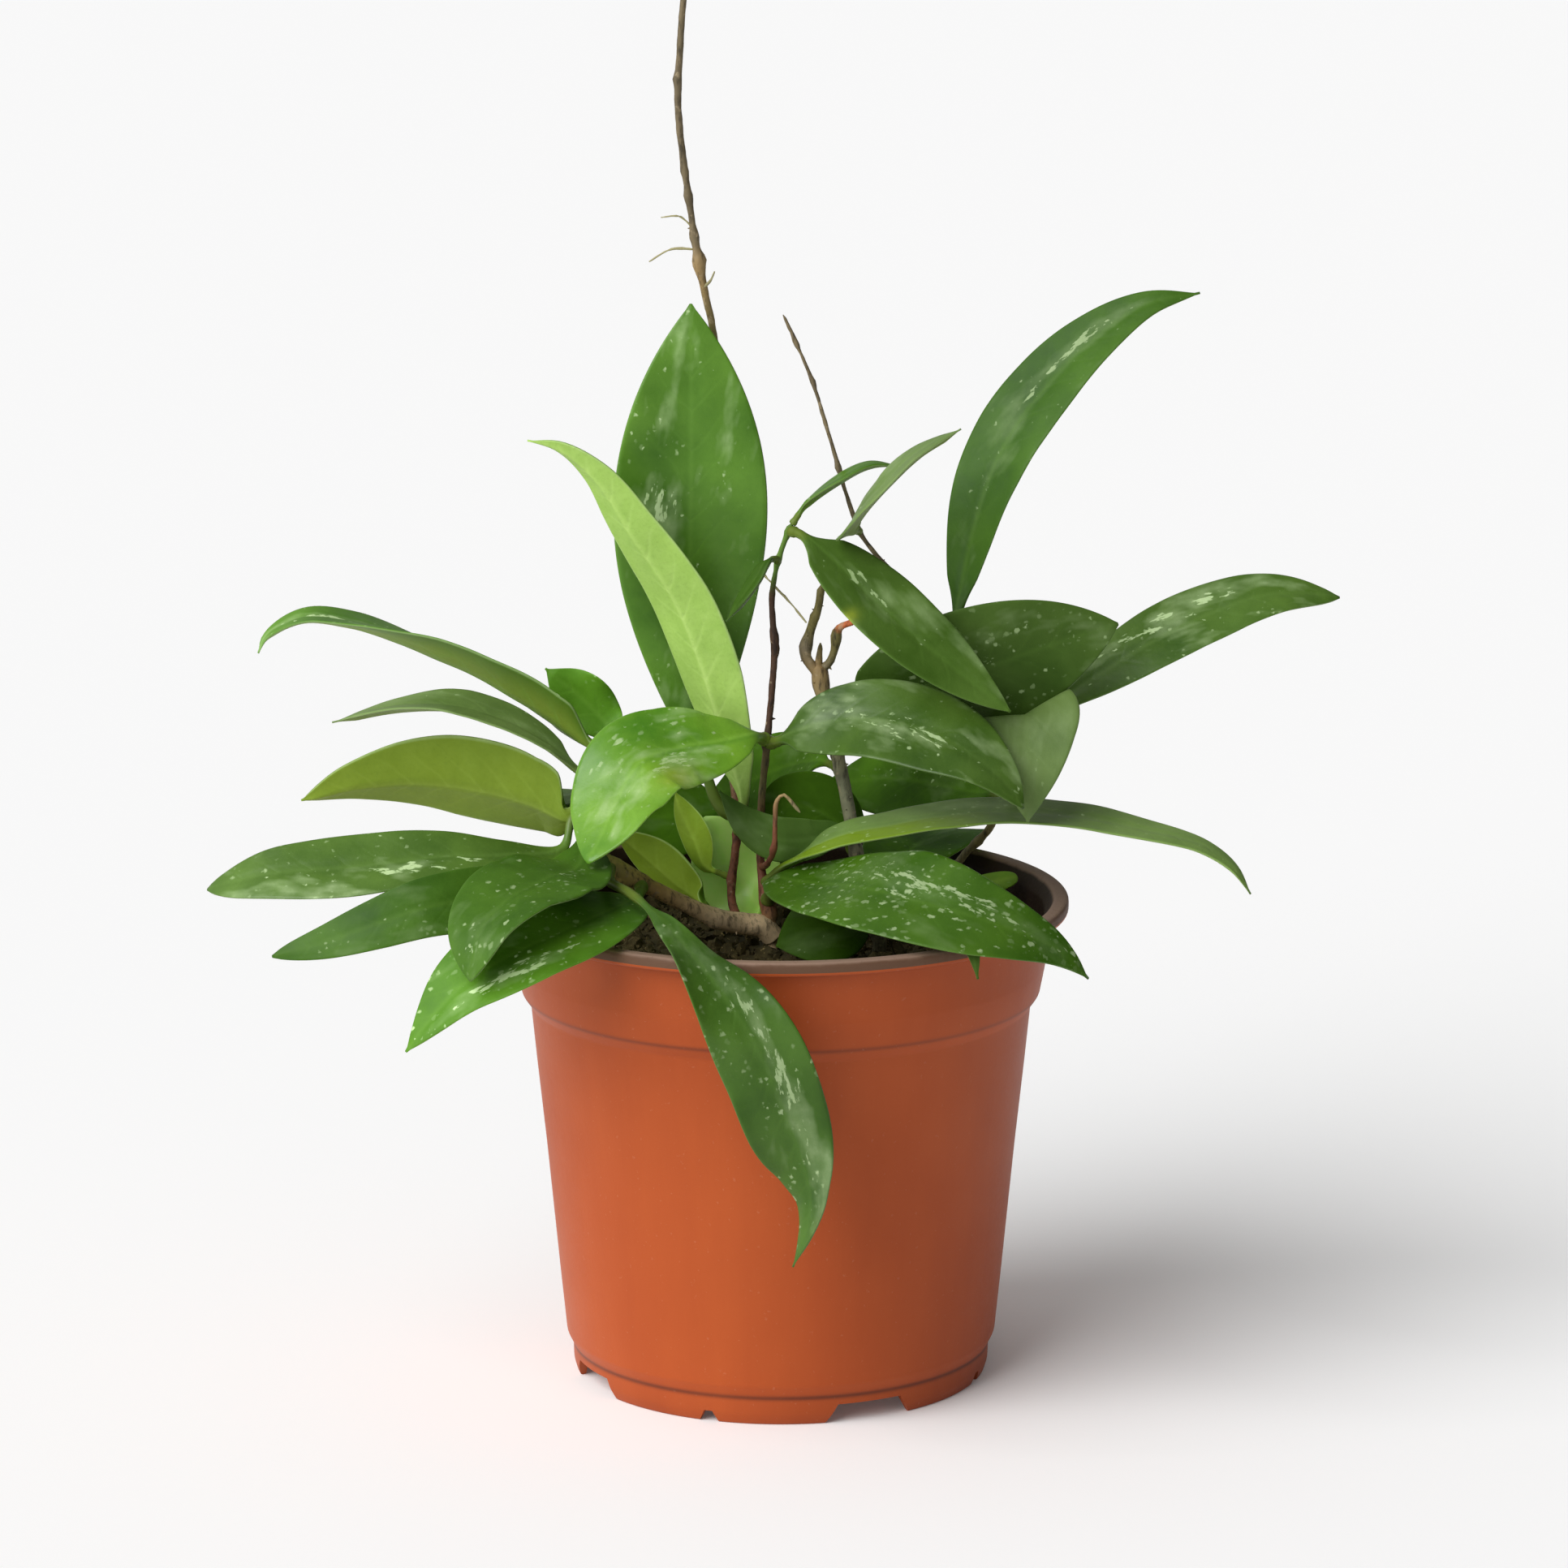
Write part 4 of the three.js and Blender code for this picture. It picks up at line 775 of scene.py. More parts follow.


# Leaves

# Each leaf begins with the branch that it grows on and how high, then its width, where along it is widest, how
# pointed its base and its tip are, its fold in degrees, its curl, its wave and the length of its stalk. Then
# come its finish, its lightness and how many pale flecks it has, from 0 to 1, the points of its midrib, and
# where its upper side faces at the stalk, halfway and at the tip.
# On the leaves deep inside the plant the lightness goes well above 1: painted light that brightens leaves lying
# in shade.
leafParts = ("on", "height", "width", "belly", "point", "tip", "fold", "curl", "wave", "petiole",
             "finish", "lightness", "flecks", "midrib", "faces")
leafTable = {
    "leaf_back_upright": ("tall", 105, 29, 0.58, 2.3, 2.3, 4, 0, 0, 7, "deep", 1.33, 0.3,
        ((-13, 112, 11), (-15.4, 126, 12), (-16.8, 150, 12), (-16.6, 178, 12), (-16.6, 204, 13)),
        ((0.1, -1, 0.1), (0, -1, 0.1), (0, -1, 0.2))),
    "leaf_pale_upright": ("tall", 102, 14.5, 0.42, 1.7, 1.7, 12, 0, 0, 5, "pale", 1.25, 0.1,
        ((-7, 110, 6.4), (-10.4, 122, 6.6), (-14.2, 135, 5), (-19.4, 148.3, 3), (-27.6, 161.6, 0),
         (-34, 171.5, -2), (-41, 177, -3), (-47, 178.4, -3)),
        ((0.5, 0.8, 0.1), (0.4, 0.8, 0.4), (0.2, 0.7, 0.7))),
    "leaf_centre_left": ("vine", 121, 21.4, 0.57, 1.7, 1.8, 10, 0.1, 0, 3, "bright", 1.05, 0.45,
        ((-6, 122.4, -3), (-12, 121.2, -7), (-19.6, 120, -11), (-26.4, 117, -16), (-30.4, 110.4, -21),
         (-33, 104.6, -26), (-36.2, 97.8, -31)),
        ((0, -0.75, 0.65), (-0.15, -0.75, 0.65), (-0.6, -0.75, 0.2))),
    "leaf_centre_right": ("vine", 120.5, 19, 0.45, 2, 1.6, 6, 0, 0, 3, "grey", 0.98, 0.4,
        ((4, 123.4, -4), (11, 125.2, -8), (18, 125.4, -12), (26, 123.4, -16), (34, 119.6, -20),
         (40.8, 114.4, -24), (45.6, 108.4, -27)),
        ((0, -0.8, 0.6), (0, -0.7, 0.75), (0.5, -0.7, 0.5))),
    "leaf_upper_right": ("farRight", 139.5, 15.2, 0.5, 2, 2.1, 12, 0, 0, 1.8, "soft", 0.82, 0.15,
        ((32.8, 142, 2.4), (35.2, 158, 6), (39, 171.4, 9), (46.2, 184.4, 11), (57.4, 196.6, 13),
         (67.4, 203.5, 14), (77.4, 206, 14)),
        ((-0.6, -0.8, 0.2), (-0.5, -0.75, 0.4), (-0.2, -0.7, 0.7))),
    "leaf_far_right": ("farRight", 124, 13.6, 0.54, 1.7, 1.7, 8, 0, 0, 5, "grey", 1.3, 0.3,
        ((48.8, 127, 4.4), (57, 132.2, 7), (68, 139.4, 11), (80, 145.6, 15), (92, 149.2, 18),
         (104.2, 148.8, 21)),
        ((0.1, -0.7, 0.7), (0, -0.65, 0.75), (0, -0.6, 0.8))),
    "leaf_dark_right": ("right", 124, 25, 0.52, 1.5, 1.8, 4, 0, 0, 3, "dark", 1.18, 0.7,
        ((13.4, 127.2, 2), (25, 131.2, -2.4), (38, 135.4, -3), (51, 140, -3.2), (63, 143.8, -3)),
        ((0, -1, -0.05), (0, -1, -0.08), (0, -1, 0.1))),
    "leaf_diagonal": ("vine", 161.6, 15.8, 0.44, 1.6, 1.65, 7, 0, 0, 1.4, "dark", 1.55, 0,
        ((6, 158.9, -4.2), (15.6, 150, -9), (25.4, 141, -13), (35, 133, -16), (43, 127, -18)),
        ((0.5, -0.75, 0.6), (0.45, -0.8, 0.5), (0.4, -0.85, 0.4))),
    "leaf_drooping_right": ("farRight", 118, 20.4, 0.34, 1.5, 1.5, 6, 0, 0, 4, "dull", 1.05, 0.1,
        ((45, 122, -2.4), (45.4, 125.6, -7), (46, 126, -11), (46.2, 122, -14.4), (46.4, 116, -17),
         (46.4, 110.4, -18.6), (46.4, 105.8, -19.4)),
        ((0, -0.4, 1), (0, -0.9, 0.4), (0, -1, 0.1))),
    "leaf_vine_tip": ("vine", 170, 5, 0.4, 2, 2, 10, 0, 0, 2, "fresh", 1, 0.1,
        ((4.8, 166.4, -2), (10.8, 170.8, -2.4), (16.8, 173.8, -2), (23, 173.4, -1)),
        ((-0.3, 0.1, 0.9), (-0.2, -0.1, 0.95), (0, -0.1, 1))),
    "leaf_slim_right": ("farRight", 161, 11.4, 0.42, 1.5, 1.8, 8, 0, 0, 2, "dull", 1.2, 0.3,
        ((13, 161.4, -4), (17.4, 167.6, -10), (25, 175.4, -13), (33.4, 180.6, -14)),
        ((-0.5, -0.25, 0.8), (-0.5, -0.2, 0.85), (-0.4, -0.1, 0.9))),
    "leaf_vine_small": ("vine", 155.8, 5.6, 0.4, 2, 2, 14, 0, 0, 1.4, "soft", 0.52, 0.1,
        ((-2.6, 155.3, -3.4), (-4.4, 152.2, -4.6), (-7, 148.4, -5.6), (-10.2, 144.2, -6)),
        ((-0.6, -0.25, 0.75), (-0.7, -0.3, 0.65), (-0.8, -0.3, 0.5))),
    "leaf_left_top": ("left", 120, 16.8, 0.46, 1.2, 1.8, 14, 0, 0, 4, "deep", 1.5, 0.5,
        ((-36, 121, 2), (-43, 126, 4), (-55, 133.4, 6), (-68, 139.6, 7), (-80, 143.6, 7), (-89, 144.6, 7),
         (-96, 141.2, 7), (-97.6, 138.2, 7)),
        ((0.2, 0.7, 0.7), (0.1, 0.3, 0.95), (-0.3, -0.4, 0.85))),
    "leaf_left_second": ("left", 115.4, 14, 0.42, 2, 2, 12, 0, 0, 4, "dull", 1.25, 0.3,
        ((-37.4, 115.4, -6), (-43, 120, -6), (-51, 124.8, -5), (-60, 127.7, -4), (-71, 127.9, -3),
         (-84, 125, -2)),
        ((0.2, -0.1, 0.95), (0.1, -0.15, 1), (-0.2, 0.1, 1))),
    "leaf_left_olive": ("left", 111, 22, 0.4, 1.3, 1.6, 14, 0, 0, 2, "olive", 1.25, 0.1,
        ((-39.6, 106.8, -6), (-46, 109.6, -2), (-56, 112.2, 2), (-68, 113.8, 5), (-80, 113, 7),
         (-90, 110, 8)),
        ((0.1, 0.85, 0.5), (0.1, 0.85, 0.5), (0, 0.8, 0.6))),
    "leaf_left_long": ("left", 108.4, 14.8, 0.6, 2, 1.8, 6, 0, 0, 4, "grey", 1.35, 0.4,
        ((-41, 100.8, -16), (-52, 99.2, -24), (-66, 98.7, -28), (-82, 96.8, -29), (-96, 95.6, -28),
         (-108, 92.8, -24)),
        ((-0.1, -0.6, 0.8), (0, -0.6, 0.8), (-0.1, -0.6, 0.8))),
    "leaf_left_low": ("left", 102, 12.4, 0.36, 1, 1.05, 4, 0, 0, 4, "soft", 0.85, 0.25,
        ((-38.6, 92.4, -22), (-50, 91.4, -33), (-58, 90.8, -37.4), (-67, 89.2, -40), (-76.4, 86, -41),
         (-86, 82.6, -40), (-96, 79.8, -38)),
        ((0, -0.9, 0.4), (0, -0.9, 0.4), (-0.1, -0.9, 0.4))),
    "leaf_left_broad": ("left", 105.2, 21, 0.5, 2, 1.6, 6, 0, 0, 4, "soft", 0.88, 0.7,
        ((-38, 97, -27), (-44.4, 94.6, -39), (-51.6, 90.4, -49), (-56.6, 84, -56), (-58.6, 75, -60)),
        ((0, -0.7, 0.7), (-0.3, -0.7, 0.65), (-0.65, -0.65, 0.4))),
    "leaf_over_rim_left": ("left", 97, 19.4, 0.5, 2, 2, 10, 0, 0, 5, "soft", 1.6, 0.45,
        ((-29, 90, -26), (-37, 86.4, -40), (-48.6, 81, -50), (-60.6, 73.4, -55), (-71, 61.2, -57)),
        ((0.1, -0.5, 0.85), (-0.1, -0.65, 0.75), (-0.5, -0.7, 0.5))),
    "leaf_hanging_front": ("left", 100.6, 16.4, 0.6, 2.7, 3.1, 9, 0, 1.7, 24, "deep", 0.74, 0.65,
        ((-32.1, 94.2, -24), (-29, 92.5, -32), (-25.2, 89.4, -41), (-19.9, 83.7, -50), (-13.8, 76.1, -58),
         (-8.3, 68.2, -61.5), (-2.8, 58.1, -62), (0.8, 49.1, -62), (3.1, 42.8, -61.5), (5.1, 36.7, -61),
         (6, 31.4, -61), (5.1, 26.1, -61), (2.3, 18.8, -61)),
        ((0.4, -0.4, 0.8), (0.15, -1, 0.2), (-0.95, -0.6, 0.1))),
    "leaf_front_right": ("vine", 90.6, 23, 0.46, 2.2, 2, 6, 0, 0, 3.2, "fresh", 0.72, 1,
        ((-1.4, 94.7, -7), (3.5, 94.1, -14), (11.9, 93.3, -26), (21.1, 91.6, -36), (31.8, 88.7, -42),
         (42.5, 85.1, -43.5), (50.5, 81.8, -43), (54.8, 78.8, -42.6), (58.1, 75.5, -42)),
        ((0, -0.55, 0.85), (0, -0.6, 0.8), (0.35, -0.65, 0.65))),
    "leaf_arching_right": ("vine", 93.8, 13.4, 0.5, 1.3, 1.8, 6, 0, 0, 6.6, "arching", 1.35, 0.3,
        ((0.3, 97.2, -5.2), (3.3, 98.8, -8.2), (6.4, 100.8, -9.8), (11, 102.9, -10.4), (21, 104.9, -10),
         (30.2, 106.5, -9.4), (40.8, 107.4, -8.8), (56.1, 106.6, -10), (66.8, 104.4, -12), (79, 101.1, -15),
         (85.2, 96.9, -17.6), (88.5, 91.9, -19)),
        ((0, -0.2, 1), (0, -0.14, 1), (0.3, -0.25, 0.9))),
    "leaf_blue_green": ("right", 102, 8.6, 0.45, 2, 2, 6, 0, 0, 3, "blue", 3.3, 0,
        ((12.2, 104.4, 1), (5.8, 102.6, -1), (-1.1, 102.7, -2.6), (-6.7, 106, -2.6), (-11.6, 111.9, -2)),
        ((0, -1, 0.3), (0, -1, 0.2), (0.2, -1, 0.2))),
    "leaf_glossy_inner": ("vine", 88, 17, 0.52, 1.6, 1.6, 10, 0, 0, 3, "glossy", 2.4, 0,
        ((-4, 89.4, 8), (-6.1, 92.5, 12), (-8.9, 97.5, 14.4), (-11.6, 102.6, 15), (-14.3, 106.9, 15)),
        ((-0.2, -0.9, 0.5), (-0.2, -1, 0.4), (-0.2, -1, 0.3))),
    "leaf_behind_left": ("left", 122, 10.6, 0.68, 3.6, 4, 9, 0, 1, 3, "soft", 1.9, 0.2,
        ((-29.4, 121.4, 8), (-32, 124.2, 12), (-37, 129.4, 13), (-44, 135.3, 13)),
        ((0, -1, 0.2), (0, -1, 0.2), (-0.2, -1, 0.2))),
    "leaf_inner_low": ("right", 85.4, 14, 0.5, 2, 2, 6, 0, 0, 3, "shaded", 1, 0.1,
        ((14.7, 86.4, -5), (9.5, 85.6, -9), (4, 83.9, -9.5), (-0.9, 81.8, -9)),
        ((0, -0.9, 0.5), (0, -0.9, 0.45), (-0.1, -0.9, 0.4))),
    "leaf_olive_inner": ("left", 88.6, 11, 0.5, 2, 2, 8, 0, 0, 3, "olive", 2.3, 0.1,
        ((-15, 90.9, 2), (-19, 94.1, 5), (-24.7, 99.1, 8), (-31.1, 104.4, 9)),
        ((0.2, 0.9, 0.4), (0.2, 0.9, 0.4), (0.2, 0.9, 0.4))),
    "leaf_sliver_inner": ("tall", 93.6, 6.4, 0.5, 2, 2, 10, 0, 0, 3, "olive", 3.2, 0.1,
        ((-13.8, 97.2, 8), (-15.9, 102.6, 10), (-18, 107.2, 12), (-19.8, 111.6, 13)),
        ((0.2, 0.9, 0.2), (0.2, 0.9, 0.2), (0.2, 0.9, 0.2))),
    "leaf_under_front": ("right", 88.6, 8, 0.5, 2, 2, 10, 0, 0, 4, "dark", 1.2, 0.2,
        ((22, 88.4, -10), (28, 87.4, -26), (32.6, 85.8, -38), (36.2, 80.6, -47), (37.2, 75.4, -49)),
        ((0, -0.4, 0.9), (0, -0.5, 0.85), (0.2, -0.8, 0.5))),
    "leaf_inner_stub": ("farRight", 86, 4.4, 0.6, 1, 1, 6, 0, 0, 6, "olive", 2.8, 0.1,
        ((31, 91.4, 14), (37, 93.2, 15.4), (44.6, 95.2, 16)),
        ((0, -0.8, 0.6), (0, -0.8, 0.6), (0, -0.8, 0.6))),
    "leaf_back_right": ("farRight", 108, 17, 0.52, 2, 2, 6, 0, 0, 4, "shaded", 1.9, 0.2,
        ((37, 111.4, 16), (30, 112.8, 26), (21, 114, 37), (8, 113, 50)),
        ((0, -0.9, 0.5), (0, -0.9, 0.5), (0, -0.8, 0.6))),
    "leaf_inner_left": ("tall", 107, 16, 0.5, 1.5, 1.5, 6, 0, 0, 9, "shaded", 3, 0.1,
        ((-12, 108, 21), (-18, 107.2, 26), (-26, 106.8, 28), (-35, 107.4, 28)),
        ((0, -1, 0.25), (0, -1, 0.25), (0, -1, 0.3))),
    "leaf_inner_right": ("right", 99, 14, 0.5, 1.4, 1.4, 6, 0, 0, 2, "shaded", 1.6, 0.1,
        ((12.4, 103.6, 6.4), (8, 107.6, 7.6), (1.6, 109.2, 8.8), (-4.2, 108.6, 9.2)),
        ((0, -1, 0.25), (0, -1, 0.25), (0, -1, 0.3))),
    "leaf_back_centre": ("right", 115, 15, 0.52, 2, 2, 6, 0, 0, 4, "shaded", 2.2, 0.2,
        ((7, 117.6, 13), (1, 116.4, 25), (-6, 113.4, 35), (-14, 110, 46)),
        ((0, -0.9, 0.5), (0, -0.9, 0.5), (0, -0.8, 0.6))),
    "leaf_back_low": ("right", 92, 21, 0.5, 2, 2, 8, 0, 0, 4, "shaded", 2.4, 0.3,
        ((20.6, 96.6, 16), (26, 101.6, 30), (31, 103.8, 46), (34, 101, 63)),
        ((0, -0.4, 0.9), (0, -0.1, 1), (0.1, 0.3, 0.95))),
    "leaf_back_left": ("left", 117, 21, 0.5, 2, 2, 8, 0, 0, 4, "fresh", 0.8, 0.5,
        ((-28.4, 116.8, 8), (-24, 119.4, 24), (-20.6, 118.4, 44), (-18, 113.6, 64)),
        ((0, -0.3, 0.95), (0, 0, 1), (0, 0.35, 0.95))),
    "leaf_back_high": ("tall", 148, 21, 0.52, 2, 2, 8, 0, 0, 5, "fresh", 0.8, 0.5,
        ((-12.4, 158.4, 28), (-14.6, 165.4, 39), (-16, 168, 52), (-16.6, 165.4, 64)),
        ((0, -0.4, 0.9), (0, 0, 1), (0, 0.3, 0.95))),
    "leaf_back_far_right": ("right", 118, 20, 0.54, 2, 2, 8, 0, 0, 4, "deep", 0.9, 0.6,
        ((18, 125.4, 22), (28, 131, 34), (38, 135, 46), (47.6, 135, 57)),
        ((0, -0.5, 0.85), (0, -0.3, 0.95), (0.1, 0.1, 1))),
    "leaf_back_far_left": ("left", 113, 19, 0.5, 2, 2, 8, 0, 0, 4, "dark", 1.4, 0.5,
        ((-38, 108, 8), (-44, 109.6, 22), (-51, 110.4, 36), (-58, 108.6, 50)),
        ((0, -0.3, 0.95), (0, 0, 1), (-0.1, 0.2, 1))),
}
leaves = {name: dict(zip(leafParts, row)) for name, row in leafTable.items()}
joins = {name: joinAt(leaf["on"], leaf["height"]) for name, leaf in leaves.items()}

# Pale splashes and yellow spots on some leaves: how far across and along they lie, and how long they are
leafMarks = {
    "leaf_back_upright": {"splash": (0.38, 0.57, 0.15)},
    "leaf_centre_left": {"splash": (0.3, 0.42, 0.3), "yellow": (0.7, 0.5, 0.12)},
    "leaf_centre_right": {"splash": (-0.1, 0.55, 0.3)},
    "leaf_upper_right": {"splash": (0.25, 0.7, 0.25)},
    "leaf_far_right": {"splash": (0.45, 0.5, 0.3)},
    "leaf_diagonal": {"splash": (0.1, 0.3, 0.16), "yellow": (-0.98, 0.36, 0.026)},
    "leaf_left_top": {"splash": (0, 0.8, 0.3)},
    "leaf_left_long": {"splash": (0.3, 0.4, 0.3)},
    "leaf_over_rim_left": {"splash": (0.5, 0.7, 0.3)},
    "leaf_hanging_front": {"splash": (0.3, 0.55, 0.3)},
    "leaf_front_right": {"splash": (0.3, 0.6, 0.3)},
    "leaf_back_left": {"splash": (0.2, 0.6, 0.2)},
    "leaf_back_high": {"splash": (-0.3, 0.4, 0.2)},
    "leaf_back_far_right": {"splash": (0.3, 0.6, 0.2)},
}

blade = {
    "rows": 84, "around": 32, "rib": 1.4, "edge": 0.75, "groove": 0.25, "ridge": 0.3, "uneven": 0.8,
    "waveShare": 0.97, "stalkShare": 0.055, "stalkRange": (0.6, 1.1), "stalkRows": 5, "collar": 1.25,
    "gap": 0.4, "sink": 1.1, "leastStalk": 1.5, "opening": 0.12, "evenness": 0.9,
    "shoulderReach": 1.6, "shoulderRise": 0.7, "tip": 0.25, "base": 0.5, "markWidth": 0.3,
    "mergeWithin": 0.004, "waves": 16.0, "bumps": (75.0, 1.5, 0.4), "grooveWidth": 0.7, "ownPattern": 0.37,
}

# Screen colours of each finish: upper side dark and light, its midrib and its underside. Then its roughness,
# coat and gloss, how plain its flecks are, how strong its painted sheen in pale patches is, and how dark its
# underside's edges.
finishParts = ("dark", "light", "midrib", "under", "roughness", "coat", "gloss", "flecks", "haze", "darkEdge")
leafColours = {
    "deep": ((50, 88, 12), (82, 122, 36), (98, 138, 54), (104, 124, 40), 0.42, 0.12, 0.35, 0.85, 0.4, 0.7),
    "grey": ((44, 74, 10), (76, 106, 34), (94, 124, 56), (74, 92, 34), 0.38, 0.2, 0.45, 0.85, 0.55, 0.2),
    "dark": ((42, 66, 14), (66, 91, 34), (74, 104, 40), (70, 92, 30), 0.5, 0.0, 0.15, 0.45, 0.2, 0.2),
    "dull": ((78, 102, 48), (106, 130, 70), (112, 138, 76), (104, 122, 50), 0.48, 0.1, 0.3, 0.6, 0.2, 0.5),
    "arching": ((78, 104, 44), (106, 132, 66), (112, 138, 76), (92, 116, 34), 0.46, 0.15, 0.3, 0.7, 0.2, 0.2),
    "fresh": ((52, 94, 6), (82, 124, 26), (104, 146, 50), (104, 134, 40), 0.4, 0.15, 0.35, 0.95, 0.2, 0.3),
    "soft": ((48, 88, 8), (78, 120, 28), (100, 140, 50), (96, 126, 38), 0.5, 0.05, 0.25, 0.8, 0.25, 0.3),
    "bright": ((62, 116, 14), (118, 164, 46), (146, 192, 78), (130, 164, 56), 0.32, 0.35, 0.5, 0.75, 0.75, 0.1),
    "blue": ((34, 54, 14), (52, 72, 28), (62, 84, 38), (58, 78, 32), 0.55, 0.0, 0.15, 0.4, 0.1, 0.1),
    "olive": ((58, 88, 16), (78, 108, 28), (128, 150, 58), (106, 128, 34), 0.5, 0.0, 0.2, 0.5, 0.1, 0.1),
    "pale": ((50, 96, 16), (80, 126, 34), (184, 212, 124), (150, 184, 88), 0.55, 0.0, 0.25, 0.5, 0.1, 0.0),
    "glossy": ((130, 170, 70), (164, 200, 106), (160, 196, 100), (130, 160, 66), 0.3, 0.3, 0.4, 0.5, 0.4, 0.1),
    "shaded": ((36, 64, 4), (60, 94, 14), (76, 112, 28), (58, 86, 14), 0.6, 0.0, 0.08, 0.6, 0.15, 0.2),
}

# What all finishes share: colours, then patterns, and how far apart the veins are
leafPaint = {
    # The silver colours serve both the pale flecks, which the leaves have, and the painted sheen.
    "fleckAndSheenDark": rgb(150, 182, 114), "fleckAndSheenLight": rgb(204, 222, 176), "yellow": rgb(162, 176, 56),
    "stalk": rgb(98, 114, 40), "nearBase": {"arching": rgb(96, 122, 14)},  # half the leaf, towards its stalk
    "broad": (70.0, 3.0, 0.5), "mottle": (300.0, 4.0, 0.6), "grain": (1300.0, 3.0, 0.6),
    "haze": (150.0, 3.0, 0.6), "warp": (110.0, 1.0, 0.5), "cluster": (120.0, 2.0, 0.5),
    "blots": (520.0, 3.0, 0.65), "streaks": (760.0, 4.0, 0.6), "swirl": (900.0, 2.0, 0.5), "cells": 900.0,
    "veinEvery": 0.0068,
}


def stalkRadius(leaf):
    low, high = blade["stalkRange"]
    return min(max(leaf["width"] * blade["stalkShare"], low), high)


def halfWidth(leaf, share):
    belly = leaf["belly"]
    rise = (share / belly) ** (leaf["point"] * belly)
    fall = ((1 - share) / (1 - belly)) ** (leaf["tip"] * (1 - belly))
    return max(blade["base"] if share < belly else blade["tip"], leaf["width"] / 2 * rise * fall)


def faceAt(leaf, share, along):
    first, middle, last = (unit(np.array(face, float)) for face in leaf["faces"])
    face = first + (middle - first) * share * 2 if share < 0.5 else middle + (last - middle) * (share * 2 - 1)
    return unit(face - along * np.dot(face, along))


def midribLine(join, leaf):
    points = [seen(point) for point in leaf["midrib"]]
    if join["atEnd"]:
        return Line([join["point"]] + points)
    sideways = points[0] - join["point"]
    sideways = unit(sideways - join["along"] * np.dot(sideways, join["along"]))
    shoulder = (join["point"] + sideways * (join["radius"] + blade["shoulderReach"])
                + join["along"] * blade["shoulderRise"])
    return Line([join["point"], shoulder] + points)


def leafRows(leaf, join):  # rows along the midrib: place, face and side, then what rowNames lists
    line = midribLine(join, leaf)
    slant = abs(float(np.dot(line.along(0), join["along"])))
    start = (join["radius"] + blade["gap"] + stalkRadius(leaf) * slant) / math.sqrt(1 - slant ** 2)
    if join["atEnd"]:
        start = blade["gap"]
    bladeStart = max(leaf["petiole"], start + blade["leastStalk"])
    sunk, collar = max(0.0, start - blade["sink"]), blade["collar"]
    # how far along, share of the blade, how far the stalk has opened into the blade, and how thick: 0 closes it
    marks = [(sunk, 0.0, 0.0, 0.0), (sunk, 0.0, 0.0, 1.2), ((sunk + start) / 2, 0.0, 0.0, collar)]
    marks += [(start + (bladeStart - start) * i / blade["stalkRows"], 0.0, 0.0,
               collar - (collar - 1) * min(1, i / 2)) for i in range(blade["stalkRows"])]
    for t in np.linspace(0, 1, blade["rows"] - len(marks) - 1):
        share = float(t * blade["evenness"] + (1 - blade["evenness"]) * (3 * t ** 2 - 2 * t ** 3))
        marks.append((bladeStart + (line.length - bladeStart) * share, share,
                      min(1.0, share / blade["opening"]), 1.0))
    marks.append((line.length, 1.0, 1.0, 0.0))
    rows = []
    for at, share, spread, closing in marks:
        along = line.along(at / line.length)
        face = faceAt(leaf, share, along)
        rows.append((line.at(at / line.length) * mm, face, np.cross(face, along), halfWidth(leaf, share) * mm,
                     share, spread, stalkRadius(leaf) * mm, at * mm, closing))
    return rows


rowNames = ("half", "share", "spread", "stalk", "reach", "closing")


def markValues(marks):  # the tree's inputs for a splash and a yellow spot; one that is missing lies far off
    return {f"{mark} {key}": value for mark in ("Splash", "Yellow")
            for key, value in zip(("Across", "Share", "Length"), marks.get(mark.lower(), (0.0, -9.0, 0.1)))}


def midribMesh(leaf, join):
    places, *columns = zip(*leafRows(leaf, join))
    mesh = bpy.data.meshes.new("midrib")
    mesh.from_pydata([tuple(place) for place in places], [(i, i + 1) for i in range(len(places) - 1)], [])
    for name, values in zip(("face", "side") + rowNames, columns):
        fill(mesh, name, values)
    return mesh


